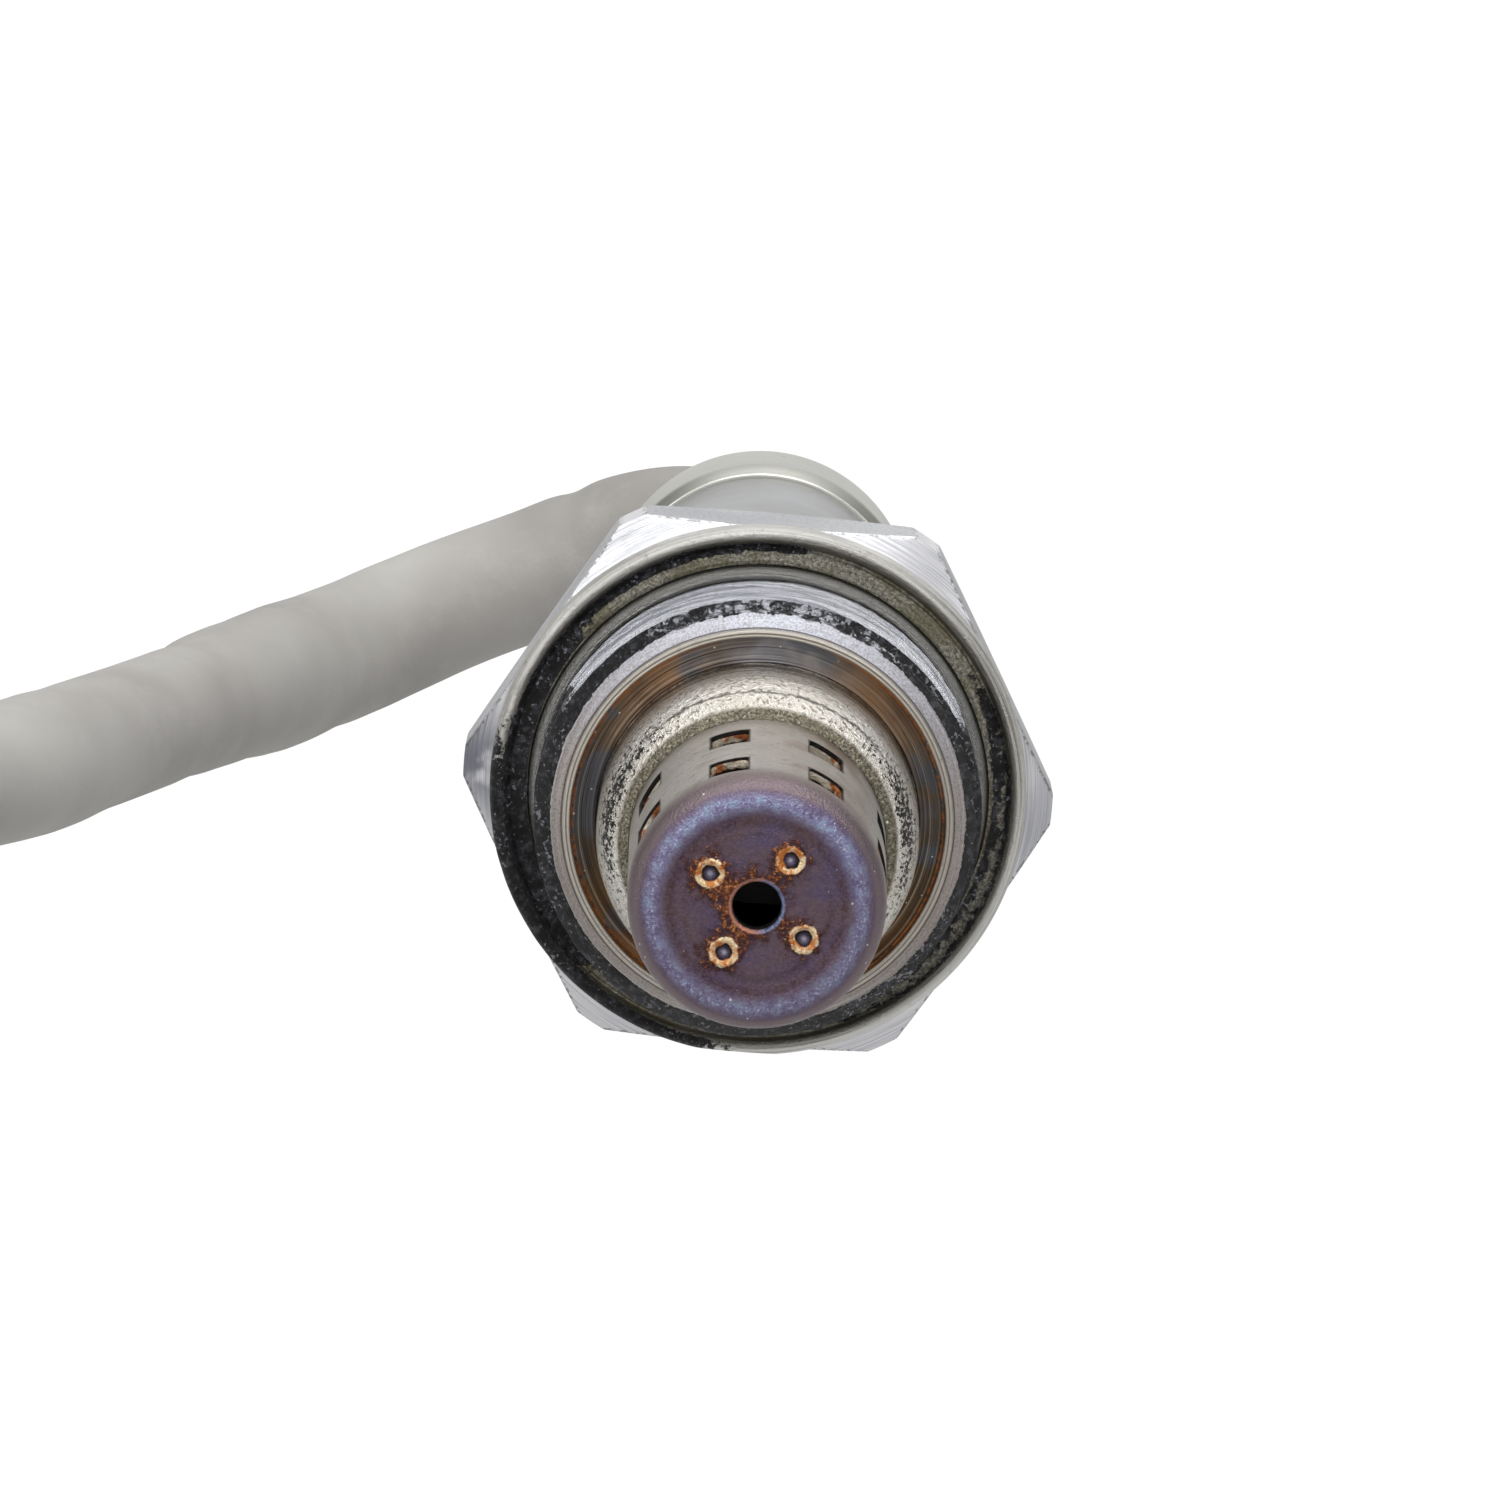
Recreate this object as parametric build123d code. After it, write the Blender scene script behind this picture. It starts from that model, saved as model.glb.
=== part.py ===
from build123d import *
import math
import os

# An oxygen sensor with an M18 x 1.5 nose and a 22 mm hexagon, its sheathed lead and its connector, in mm.
# It lies on one flat of the hexagon. Its axis is along Y, with the tip towards -Y and the lead towards +Y.
# The origin is on the floor, under the middle of the sensor without its lead.
#
# The sensor's own pieces are drawn upright in the sensor frame: Z is the axis, + towards the tip and 0 a
# little behind the front face of the hexagon, and Y is up once it lies down. A height below is a place
# along that axis.

# Hexagon, gasket seat and thread
HEX_ACROSS_FLATS = 21.6  # a 22 mm spanner size, less its tolerance
HEX_CORNER_RADIUS = 12.1  # the corners are turned down to this
HEX_FRONT = 1.0  # height of its front face
HEX_THICKNESS = 3.9
HEX_CHAMFER_WIDTH = 1.3
HEX_CHAMFER_LENGTH = 0.75
THREAD_MAJOR_RADIUS = 9.0
RELIEF_RADIUS = 8.2
RELIEF_LENGTH = 3.2
NOSE_LENGTH = 8.5
LIP_RADIUS = 7.8
LIP_WALL = 0.3
LIP_STAND = 0.4  # how far the lip stands over the flange that it holds

# Gasket, a folded ring held captive behind the thread
GASKET_GRIP = 0.25  # how far its bore is under the thread's crests, which keeps it on
GASKET_WIDTH = 2.2
GASKET_INNER_RADIUS = THREAD_MAJOR_RADIUS - GASKET_GRIP
GASKET_OUTER_RADIUS = GASKET_INNER_RADIUS + GASKET_WIDTH
GASKET_THICKNESS = 1.3
GASKET_BEAD = 0.32  # radius of the rounded inner and outer beads
GASKET_DISH = 0.4  # how far the flat annulus lies under the beads

# Outer protection tube
TUBE_WALL = 0.5
FLANGE_THICKNESS = 0.5
COLLAR_RADIUS = 6.4
COLLAR_LENGTH = 2.86
DOME_RADIUS = 3.0  # rounding of the collar's shoulder
SHOULDER_RADIUS = 5.5  # where the dome meets the tube's root
ROOT_RISE = 0.2
TUBE_ROOT_RADIUS = 5.05
TUBE_TIP_RADIUS = 4.92
TIP_HEIGHT = 25.0
TIP_EDGE_RADIUS = 1.1
TIP_HOLE_RADIUS = 0.925
WELD_CIRCLE_RADIUS = 2.17
WELD_COUNT = 4
WELD_FIRST_ANGLE = 30.6  # clockwise from straight up, seen from the tip
WELD_BALL_RADIUS = 0.5
WELD_DEPTH = 0.12
WINDOW_COUNT = 8
WINDOW_FIRST_ANGLE = 27.7
WINDOW_HEIGHTS = (16.4, 21.9)
WINDOW_WIDTH = 1.5
WINDOW_LENGTH = 2.5
WINDOW_CORNER = 0.3

# Inner protection tube
INNER_TUBE_RADIUS = 3.9
INNER_TUBE_WALL = 0.35
INNER_FLANGE_RADIUS = 7.3
INNER_FLANGE_THICKNESS = 0.4
INNER_HOLE_COUNT = 6
INNER_HOLE_RADIUS = 0.8
INNER_HOLE_HEIGHT = 13.5

# Sensing element and the stack that holds and seals it
ELEMENT_WIDTH = 4.0
ELEMENT_THICKNESS = 1.3
ELEMENT_TIP_GAP = 3.0  # from the end of the inner tube
ELEMENT_FIT = 0.1  # play in the slots of the insulators
FRONT_BORE_RADIUS = 4.4
SEAT_HEIGHT = 2.0  # shoulder inside the housing that carries the stack
PACK_RADIUS = 5.4
FRONT_INSULATOR_LENGTH = 4.0
POWDER_LENGTH = 4.5
REAR_INSULATOR_LENGTH = 4.9
PRELOAD_RING_LENGTH = 0.6
PRELOAD_RING_BORE = 3.2
BOSS_LIP_LENGTH = 0.6
BOSS_LIP_BORE = 4.6

# Rear sleeve, end cover and grommet
SLEEVE_RADIUS = 6.6
SLEEVE_WALL = 0.4
SLEEVE_GAP = 0.5  # from the back of the hexagon
COVER_WALL = 0.56
COVER_LENGTH = 5.4
COVER_EDGE = 0.45  # rounding of its two rims
COVER_LIP_LENGTH = 0.5
COVER_LIP_BORE = 4.9
GROMMET_LENGTH = 7.1
GROMMET_HEAD_LENGTH = 1.1
CABLE_SOCKET_DEPTH = 1.0

# Contacts
HOLDER_DISTANCE = 7.9  # from the end of the housing
HOLDER_LENGTH = 13.0
ELEMENT_IN_HOLDER = 10.0
CLIP_THICKNESS = 0.4
CLIP_LENGTH = 5.0
CLIP_OPENING_DEGREES = 40.0
SPRING_WIDTH = 0.9
SPRING_THICKNESS = 0.2
SPRING_SPACING = 1.0  # from the middle plane
SPRING_MOUTH = 1.0  # its free end, from the top of the holder down
SPRING_TOE = 2.5  # where it meets the element's pad
SPRING_HEEL = 4.0  # where it leaves the pad
SPRING_BACK = 8.0  # where it reaches the level of its crimp
CHANNEL_FIT = 0.1
CRIMP_LENGTH = 4.0
CRIMP_RADIUS = 0.7
CRIMP_SPACE = 5.5  # room for the crimps between holder and grommet
CONDUCTOR_RADIUS = 0.45
LEAD_RADIUS = 0.95
LEAD_ACROSS = 1.35
LEAD_UP = 1.65

# Lead
CABLE_DIAMETER = 6.4
COIL_RADIUS = 34.0
COIL_CENTRE = (-78.0, 24.2)
COIL_ENTRY_ANGLE = -60.0  # where the lead runs into the coil, clockwise turns, seen from above
COIL_EXIT_ANGLE = -114.0
COIL_OVERLAP_ANGLE = 15.0  # where the last turn starts to lie on the first
COIL_BASE_END_ANGLE = -15.0  # where the turn on the floor gives way to the lead that comes in under the last
LAYER_GAP = 0.1
COIL_APPROACH = 23.0
TIE_ANGLE = -86.0
TIE_WIDTH = 4.0
TIE_THICKNESS = 0.8
TIE_FIT = 0.15
TIE_CORNER = 1.2
TIE_HEAD = (5.0, 4.4, 5.0)
WEB_INSET = 2.0  # degrees; the web joins the two layers where one lies on the other
TAIL_RUN = 13.0

# Connector, drawn in its own frame: X is the way that it plugs in, 0 at its back, Z up from its middle
BOOT_LENGTH = 13.0
BOOT_ROOT_RADIUS = 5.5
BOOT_TIP_RADIUS = 4.2
BODY_LENGTH = 32.0
BODY_WIDTH = 20.0
BODY_HEIGHT = 15.0
BODY_CORNER = 2.5
SHROUD_START = 14.0
SHROUD_WIDTH = 22.0
SHROUD_HEIGHT = 17.0
SHROUD_WALL = 1.8
SHROUD_FLOOR = 16.0
SHROUD_CORNER = 2.0
POCKET_WIDTH = 15.0
POCKET_HEIGHT = 10.5
POCKET_CORNER = 2.0
RETAINER_LENGTH = 2.0
REAR_SEAL_LENGTH = 5.0
LOCK_LENGTH = 2.0
CAVITY_SIZE = 2.1
TERMINAL_WIDTH = 1.4
TERMINAL_BACK = 8.5
TERMINAL_CRIMP_LENGTH = 5.0
PIN_SIZE = 1.0
PIN_STAND = 10.0
RAMP_SIZE = (7.0, 6.0, 1.6)
RIB_WIDTH = 2.0
RIB_SPACING = 14.0

# Places that follow from the sizes above
AXIS_HEIGHT = HEX_ACROSS_FLATS / 2
HEX_BACK = HEX_FRONT - HEX_THICKNESS
CABLE_RADIUS = CABLE_DIAMETER / 2
OUTER_FLANGE_TOP = NOSE_LENGTH - LIP_STAND
OUTER_FLANGE_LOW = OUTER_FLANGE_TOP - FLANGE_THICKNESS
RECESS_FLOOR = OUTER_FLANGE_LOW - INNER_FLANGE_THICKNESS
RECESS_RADIUS = LIP_RADIUS - LIP_WALL
COLLAR_TOP = OUTER_FLANGE_TOP + COLLAR_LENGTH
TIP_INSIDE = TIP_HEIGHT - TUBE_WALL
POWDER_TOP = SEAT_HEIGHT - FRONT_INSULATOR_LENGTH
REAR_INSULATOR_TOP = POWDER_TOP - POWDER_LENGTH
PRELOAD_RING_TOP = REAR_INSULATOR_TOP - REAR_INSULATOR_LENGTH
BOSS_LIP_TOP = PRELOAD_RING_TOP - PRELOAD_RING_LENGTH
BOSS_END = BOSS_LIP_TOP - BOSS_LIP_LENGTH
SLEEVE_BORE = SLEEVE_RADIUS - SLEEVE_WALL
SLEEVE_TOP = HEX_BACK - SLEEVE_GAP
HOLDER_TOP = BOSS_END - HOLDER_DISTANCE
HOLDER_END = HOLDER_TOP - HOLDER_LENGTH
HOLDER_RADIUS = SLEEVE_BORE - CLIP_THICKNESS
ELEMENT_TOP = TIP_INSIDE - INNER_TUBE_WALL - ELEMENT_TIP_GAP
ELEMENT_END = HOLDER_TOP - ELEMENT_IN_HOLDER
CRIMP_END = HOLDER_END - CRIMP_LENGTH
GROMMET_TOP = HOLDER_END - CRIMP_SPACE
GROMMET_END = GROMMET_TOP - GROMMET_LENGTH
SLEEVE_END = GROMMET_END + GROMMET_HEAD_LENGTH
CABLE_START = GROMMET_END + CABLE_SOCKET_DEPTH
COVER_RADIUS = SLEEVE_RADIUS + COVER_WALL
COVER_END = GROMMET_END - COVER_LIP_LENGTH
DATUM_Y = (TIP_HEIGHT + COVER_END) / 2  # puts the middle of the sensor's length over the origin

SENSOR_PLACE = Location((0, DATUM_Y, AXIS_HEIGHT), (90, 0, 0))
LEAD_PLACES = [(x, y) for y in (LEAD_UP, -LEAD_UP) for x in (-LEAD_ACROSS, LEAD_ACROSS)]


def turned(*corners):
    """A ring or disc turned about the axis, from the (radius, height) corners of its section."""
    return revolve(Plane.XZ * make_face(Polyline(*corners, close=True)), Axis.Z)


def cylinder_between(radius, low, high, centre=(0, 0)):
    """A round bar along the axis, from one height to another."""
    return Pos(centre[0], centre[1], low) * extrude(Circle(radius), high - low)


def bar_between(width, depth, low, high, centre=(0, 0)):
    """A rectangular bar along the axis, from one height to another."""
    return Pos(centre[0], centre[1], low) * extrude(Rectangle(width, depth), high - low)


def on_clock(angle, radius):
    """The place at an angle counted clockwise from straight up, seen from the tip."""
    return radius * math.sin(math.radians(angle)), radius * math.cos(math.radians(angle))


def housing():
    """Turned steel: crimped nose lip, thread at its major radius, relief groove, hexagon and rear boss."""
    thread_end = NOSE_LENGTH - (THREAD_MAJOR_RADIUS - LIP_RADIUS)
    boss_radius = SLEEVE_BORE
    body = turned(
        (0, BOSS_END),
        (boss_radius, BOSS_END),
        (boss_radius, HEX_BACK),
        (RELIEF_RADIUS, HEX_BACK),
        (RELIEF_RADIUS, RELIEF_LENGTH),
        (THREAD_MAJOR_RADIUS, RELIEF_LENGTH),
        (THREAD_MAJOR_RADIUS, thread_end),
        (LIP_RADIUS, NOSE_LENGTH),
        (0, NOSE_LENGTH),
    )
    prism = Pos(0, 0, HEX_BACK) * extrude(
        RegularPolygon(HEX_ACROSS_FLATS / 2, 6, major_radius=False), HEX_THICKNESS
    )
    blank = turned(
        (0, HEX_BACK),
        (HEX_CORNER_RADIUS - HEX_CHAMFER_WIDTH, HEX_BACK),
        (HEX_CORNER_RADIUS, HEX_BACK + HEX_CHAMFER_LENGTH),
        (HEX_CORNER_RADIUS, HEX_FRONT - HEX_CHAMFER_LENGTH),
        (HEX_CORNER_RADIUS - HEX_CHAMFER_WIDTH, HEX_FRONT),
        (0, HEX_FRONT),
    )
    body += prism & blank
    body -= cylinder_between(RECESS_RADIUS, RECESS_FLOOR, NOSE_LENGTH)
    body -= cylinder_between(FRONT_BORE_RADIUS, SEAT_HEIGHT, RECESS_FLOOR)
    body -= cylinder_between(PACK_RADIUS, BOSS_LIP_TOP, SEAT_HEIGHT)
    body -= cylinder_between(BOSS_LIP_BORE, BOSS_END, BOSS_LIP_TOP)
    return body


def sealing_gasket():
    """Folded sheet ring: an inner bead, a dished annulus and a fatter outer bead."""
    inner, outer, bead = GASKET_INNER_RADIUS, GASKET_OUTER_RADIUS, GASKET_BEAD
    seat = HEX_FRONT
    top = seat + GASKET_THICKNESS
    dish = top - GASKET_DISH
    fold = 1 - math.sqrt(0.5)  # how far the middle of a quarter arc is from its corner's sides, over its radius
    section = (
        Line((inner, seat + bead), (inner, top - bead))
        + ThreePointArc((inner, top - bead), (inner + bead, top), (inner + 2 * bead, top - bead))
        + Line((inner + 2 * bead, top - bead), (inner + 2 * bead, dish))
        + Line((inner + 2 * bead, dish), (outer - 2 * bead, dish))
        + ThreePointArc((outer - 2 * bead, dish), (outer - bead, top - bead), (outer, dish - bead))
        + Line((outer, dish - bead), (outer, seat + bead))
        + ThreePointArc((outer, seat + bead), (outer - bead * fold, seat + bead * fold), (outer - bead, seat))
        + Line((outer - bead, seat), (inner + bead, seat))
        + Line((inner + bead, seat), (inner, seat + bead))
    )
    return revolve(Plane.XZ * make_face(section), Axis.Z)


def outer_protection_tube():
    """Drawn cup: flange, domed collar, tapered tube with two rows of windows, end with hole and welds."""
    dome_centre = COLLAR_RADIUS - DOME_RADIUS
    dome_inside = DOME_RADIUS - TUBE_WALL
    root_inside = TUBE_ROOT_RADIUS - TUBE_WALL
    outer_angle = math.acos((SHOULDER_RADIUS - dome_centre) / DOME_RADIUS)
    inner_angle = math.acos((root_inside - dome_centre) / dome_inside)
    shoulder = COLLAR_TOP + DOME_RADIUS * math.sin(outer_angle)
    root = shoulder + ROOT_RISE
    edge_inside = TIP_EDGE_RADIUS - TUBE_WALL

    def on_dome(radius, angle):
        return dome_centre + radius * math.cos(angle), COLLAR_TOP + radius * math.sin(angle)

    def on_edge(radius, angle):
        centre = TUBE_TIP_RADIUS - TIP_EDGE_RADIUS
        return centre + radius * math.cos(angle), TIP_HEIGHT - TIP_EDGE_RADIUS + radius * math.sin(angle)

    def dome_arc(radius, first, last):
        return ThreePointArc(*(on_dome(radius, a) for a in (first, (first + last) / 2, last)))

    def edge_arc(radius, first, last):
        return ThreePointArc(*(on_edge(radius, a) for a in (first, (first + last) / 2, last)))

    quarter = math.pi / 2
    section = (
        Polyline(
            (COLLAR_RADIUS - TUBE_WALL, COLLAR_TOP),
            (COLLAR_RADIUS - TUBE_WALL, OUTER_FLANGE_LOW),
            (RECESS_RADIUS, OUTER_FLANGE_LOW),
            (RECESS_RADIUS, OUTER_FLANGE_TOP),
            (COLLAR_RADIUS, OUTER_FLANGE_TOP),
            (COLLAR_RADIUS, COLLAR_TOP),
        )
        + dome_arc(DOME_RADIUS, 0, outer_angle)
        + Polyline(on_dome(DOME_RADIUS, outer_angle), (TUBE_ROOT_RADIUS, root), on_edge(TIP_EDGE_RADIUS, 0))
        + edge_arc(TIP_EDGE_RADIUS, 0, quarter)
        + Polyline(
            on_edge(TIP_EDGE_RADIUS, quarter),
            (TIP_HOLE_RADIUS, TIP_HEIGHT),
            (TIP_HOLE_RADIUS, TIP_INSIDE),
            on_edge(edge_inside, quarter),
        )
        + edge_arc(edge_inside, quarter, 0)
        + Line(on_edge(edge_inside, 0), on_dome(dome_inside, inner_angle))
        + dome_arc(dome_inside, inner_angle, 0)
    )
    tube = revolve(Plane.XZ * make_face(section), Axis.Z)

    window = extrude(RectangleRounded(WINDOW_WIDTH, WINDOW_LENGTH, WINDOW_CORNER), 3 * TUBE_WALL, both=True)
    for height in WINDOW_HEIGHTS:
        for k in range(WINDOW_COUNT):
            angle = WINDOW_FIRST_ANGLE + k * 360 / WINDOW_COUNT
            x, y = on_clock(angle, TUBE_ROOT_RADIUS)
            tube -= Plane(origin=(x, y, height), x_dir=(y, -x, 0), z_dir=(x, y, 0)) * window
    for k in range(WELD_COUNT):
        x, y = on_clock(WELD_FIRST_ANGLE + k * 360 / WELD_COUNT, WELD_CIRCLE_RADIUS)
        tube -= Pos(x, y, TIP_HEIGHT + WELD_BALL_RADIUS - WELD_DEPTH) * Sphere(WELD_BALL_RADIUS)
    return tube


def inner_protection_tube():
    """Drawn cup with a flange under the outer one's, an open end hole and a ring of side holes."""
    bore = INNER_TUBE_RADIUS - INNER_TUBE_WALL
    tube = turned(
        (bore, RECESS_FLOOR),
        (INNER_FLANGE_RADIUS, RECESS_FLOOR),
        (INNER_FLANGE_RADIUS, OUTER_FLANGE_LOW),
        (INNER_TUBE_RADIUS, OUTER_FLANGE_LOW),
        (INNER_TUBE_RADIUS, TIP_INSIDE),
        (TIP_HOLE_RADIUS, TIP_INSIDE),
        (TIP_HOLE_RADIUS, TIP_INSIDE - INNER_TUBE_WALL),
        (bore, TIP_INSIDE - INNER_TUBE_WALL),
    )
    for k in range(INNER_HOLE_COUNT):
        x, y = on_clock(k * 360 / INNER_HOLE_COUNT, INNER_TUBE_RADIUS)
        drill = extrude(Circle(INNER_HOLE_RADIUS), 2 * INNER_TUBE_WALL, both=True)
        tube -= Plane(origin=(x, y, INNER_HOLE_HEIGHT), z_dir=(x, y, 0)) * drill
    return tube


def sensing_element():
    """Laminated ceramic strip, with its measuring end in the tubes and its pads between the contacts."""
    return bar_between(ELEMENT_WIDTH, ELEMENT_THICKNESS, ELEMENT_END, ELEMENT_TOP)


def slotted_disc(radius, top, length, fit):
    """A disc that fills the housing's bore, with the slot that the element passes through."""
    disc = cylinder_between(radius, top - length, top)
    return disc - bar_between(ELEMENT_WIDTH + 2 * fit, ELEMENT_THICKNESS + 2 * fit, top - length, top)


def preload_ring():
    """Steel ring that the crimped end of the housing presses on the stack."""
    return cylinder_between(PACK_RADIUS, BOSS_LIP_TOP, PRELOAD_RING_TOP) - cylinder_between(
        PRELOAD_RING_BORE, BOSS_LIP_TOP, PRELOAD_RING_TOP
    )


def rear_sleeve():
    """Thin tube welded on the housing's boss, open at the grommet."""
    return cylinder_between(SLEEVE_RADIUS, SLEEVE_END, SLEEVE_TOP) - cylinder_between(
        SLEEVE_BORE, SLEEVE_END, SLEEVE_TOP
    )


def end_cover():
    """Wider cap on the sleeve's end. Its lip keeps the grommet in."""
    cap = cylinder_between(COVER_RADIUS, COVER_END, COVER_END + COVER_LENGTH)
    rims = cap.edges().filter_by(GeomType.CIRCLE)
    cap = fillet(rims, radius=COVER_EDGE)
    cap -= cylinder_between(SLEEVE_RADIUS, GROMMET_END, COVER_END + COVER_LENGTH)
    return cap - cylinder_between(COVER_LIP_BORE, COVER_END, GROMMET_END)


def cable_grommet():
    """Rubber plug with four lead holes, a head that seats on the sleeve and a socket for the sheath."""
    plug = cylinder_between(SLEEVE_BORE, SLEEVE_END, GROMMET_TOP)
    plug += cylinder_between(SLEEVE_RADIUS, GROMMET_END, SLEEVE_END)
    plug -= cylinder_between(CABLE_RADIUS, GROMMET_END, CABLE_START)
    for place in LEAD_PLACES:
        plug -= cylinder_between(LEAD_RADIUS, CABLE_START, GROMMET_TOP, place)
    return plug


def contact_holder(side):
    """One ceramic half, above (+1) or below (-1) the element, with a channel for each contact spring."""
    half = cylinder_between(HOLDER_RADIUS, HOLDER_END, HOLDER_TOP)
    half &= bar_between(
        2 * HOLDER_RADIUS, HOLDER_RADIUS, HOLDER_END, HOLDER_TOP, (0, side * HOLDER_RADIUS / 2)
    )
    slot_width = ELEMENT_WIDTH + 2 * ELEMENT_FIT
    slot_height = ELEMENT_THICKNESS + 2 * ELEMENT_FIT
    half -= bar_between(slot_width, slot_height, ELEMENT_END - ELEMENT_FIT, HOLDER_TOP)
    channel_width = SPRING_WIDTH + 2 * CHANNEL_FIT
    channel_depth = LEAD_UP + SPRING_THICKNESS
    for x in (-SPRING_SPACING, SPRING_SPACING):
        half -= bar_between(
            channel_width, channel_depth, HOLDER_END, HOLDER_TOP, (x, side * channel_depth / 2)
        )
    return half


def holder_clip():
    """Open spring ring that grips the two holder halves and bears on the sleeve."""
    middle = (HOLDER_TOP + HOLDER_END) / 2
    low, high = middle - CLIP_LENGTH / 2, middle + CLIP_LENGTH / 2
    ring = cylinder_between(SLEEVE_BORE, low, high) - cylinder_between(HOLDER_RADIUS, low, high)
    gap = 2 * HOLDER_RADIUS * math.sin(math.radians(CLIP_OPENING_DEGREES / 2))
    return ring - bar_between(2 * SLEEVE_BORE, gap, low, high, (SLEEVE_BORE + CLIP_THICKNESS, 0))


def contact_spring(place):
    """Strip that presses on the element's pad, in one piece with the crimp that holds its lead."""
    side = math.copysign(1, place[1])
    x = math.copysign(SPRING_SPACING, place[0])
    press = ELEMENT_THICKNESS / 2 + SPRING_THICKNESS / 2
    rest = LEAD_UP - SPRING_THICKNESS / 2
    spine = Polyline(
        (rest, HOLDER_TOP - SPRING_MOUTH),
        (press + SPRING_THICKNESS, HOLDER_TOP - SPRING_TOE),
        (press, HOLDER_TOP - SPRING_HEEL),
        (rest, HOLDER_TOP - SPRING_BACK),
        (rest, HOLDER_END),
    )
    strip = make_face(offset(spine, SPRING_THICKNESS / 2, side=Side.BOTH, closed=True))
    blade = extrude(Plane.YZ * strip, SPRING_WIDTH / 2, both=True)
    if side < 0:
        blade = mirror(blade, Plane.XZ)
    barrel = cylinder_between(CRIMP_RADIUS, CRIMP_END, HOLDER_END, place)
    bridge = bar_between(
        SPRING_WIDTH, SPRING_THICKNESS, HOLDER_END - CRIMP_RADIUS, HOLDER_END, (x, side * rest)
    )
    return Pos(x, 0, 0) * blade + bridge + barrel - cylinder_between(
        CONDUCTOR_RADIUS, CRIMP_END, HOLDER_END - CRIMP_RADIUS, place
    )


def sensor_lead(place):
    """Insulated wire from the crimp, through the grommet, to the start of the sheath."""
    core = cylinder_between(CONDUCTOR_RADIUS, CRIMP_END, HOLDER_END - CRIMP_RADIUS, place)
    return core + cylinder_between(LEAD_RADIUS, CABLE_START, CRIMP_END, place)


def coil_point(angle, height):
    """A place on the middle line of the coil."""
    a = math.radians(angle)
    return COIL_CENTRE[0] + COIL_RADIUS * math.cos(a), COIL_CENTRE[1] + COIL_RADIUS * math.sin(a), height


def coil_heading(angle):
    """The way that the lead runs there, clockwise seen from above."""
    a = math.radians(angle)
    return Vector(math.sin(a), -math.cos(a), 0)


FIRST_LAYER = CABLE_RADIUS
SECOND_LAYER = 3 * CABLE_RADIUS + LAYER_GAP
COIL_ENTRY = Vector(*coil_point(COIL_ENTRY_ANGLE, FIRST_LAYER))
COIL_EXIT = Vector(*coil_point(COIL_EXIT_ANGLE, SECOND_LAYER))

# The lead's route on the way to the coil: straight back, a tight turn to the left behind the sensor, then
# down to the floor and forwards.
LEAD_ROUTE = [
    (0, DATUM_Y - CABLE_START, AXIS_HEIGHT),
    (0, 52.5, AXIS_HEIGHT),
    (-5.3, 58.8, 10.0),
    (-13.4, 60.3, 6.2),
    (-20.1, 55.6, FIRST_LAYER),
    (-24.5, 42.6, FIRST_LAYER),
    (-34.0, 13.8, FIRST_LAYER),
    tuple(COIL_ENTRY - coil_heading(COIL_ENTRY_ANGLE) * COIL_APPROACH),
    tuple(COIL_ENTRY),
]
TAIL_BEND = COIL_EXIT + coil_heading(COIL_EXIT_ANGLE) * TAIL_RUN
BOOT_START = TAIL_BEND + coil_heading((COIL_EXIT_ANGLE - 90) / 2) * TAIL_RUN
CONNECTOR_BACK = BOOT_START + coil_heading(-90) * BOOT_LENGTH
TAIL_ROUTE = [tuple(COIL_EXIT), tuple(TAIL_BEND), tuple(BOOT_START), tuple(CONNECTOR_BACK)]


def cable(route, name):
    """A round tube along straight runs joined by tangent arcs, each as large as its two runs allow."""
    points = [Vector(*p) for p in route]
    runs = [b - a for a, b in zip(points, points[1:])]
    radii = []
    for before, after in zip(runs, runs[1:]):
        half_turn = math.radians(before.get_angle(after)) / 2
        radii.append(0.45 * min(before.length, after.length) / math.tan(half_turn))
    path = FilletPolyline(*points, radius=radii)
    start = Plane(origin=points[0], z_dir=runs[0])
    tube = sweep(start * Circle(CABLE_RADIUS), path=path)
    expected = math.pi * CABLE_RADIUS**2 * path.length
    print(name, "radii", [round(r, 1) for r in radii], "length", round(path.length, 1))
    print(name, "volume over section times length", round(tube.volume / expected, 4))
    return tube


def tie_plane():
    """The upright plane across the coil where the tie holds it."""
    centre = Vector(*coil_point(TIE_ANGLE, 0))
    outward = centre - Vector(*COIL_CENTRE, 0)
    return Plane(origin=centre, x_dir=outward, z_dir=outward.cross(Vector(0, 0, 1)))


def tie_section(margin):
    """Outline round both layers where the tie pinches them, from its own thickness over the floor."""
    low = TIE_THICKNESS - margin
    high = SECOND_LAYER + CABLE_RADIUS + TIE_FIT + margin
    width = 2 * (CABLE_RADIUS + TIE_FIT + margin)
    return Pos(0, (low + high) / 2) * RectangleRounded(width, high - low, TIE_CORNER + margin)


def coil_tie():
    """Flat band round the two layers, with its locking head on the inside of the coil."""
    plane = tie_plane()
    band = plane * extrude(tie_section(TIE_THICKNESS) - tie_section(0), TIE_WIDTH / 2, both=True)
    head_centre = -CABLE_RADIUS - TIE_FIT - TIE_THICKNESS / 2 - TIE_HEAD[0] / 2
    return band + plane * Pos(head_centre, SECOND_LAYER - CABLE_RADIUS, 0) * Box(*TIE_HEAD)


def ring_sector(section, start, end):
    """Part of the coil's ring, with this section, from one angle round to another."""
    ring = revolve(Plane.XZ * Pos(COIL_RADIUS, 0) * section, Axis.Z, revolution_arc=end - start)
    return Pos(*COIL_CENTRE, 0) * Rot(0, 0, start) * ring


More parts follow.
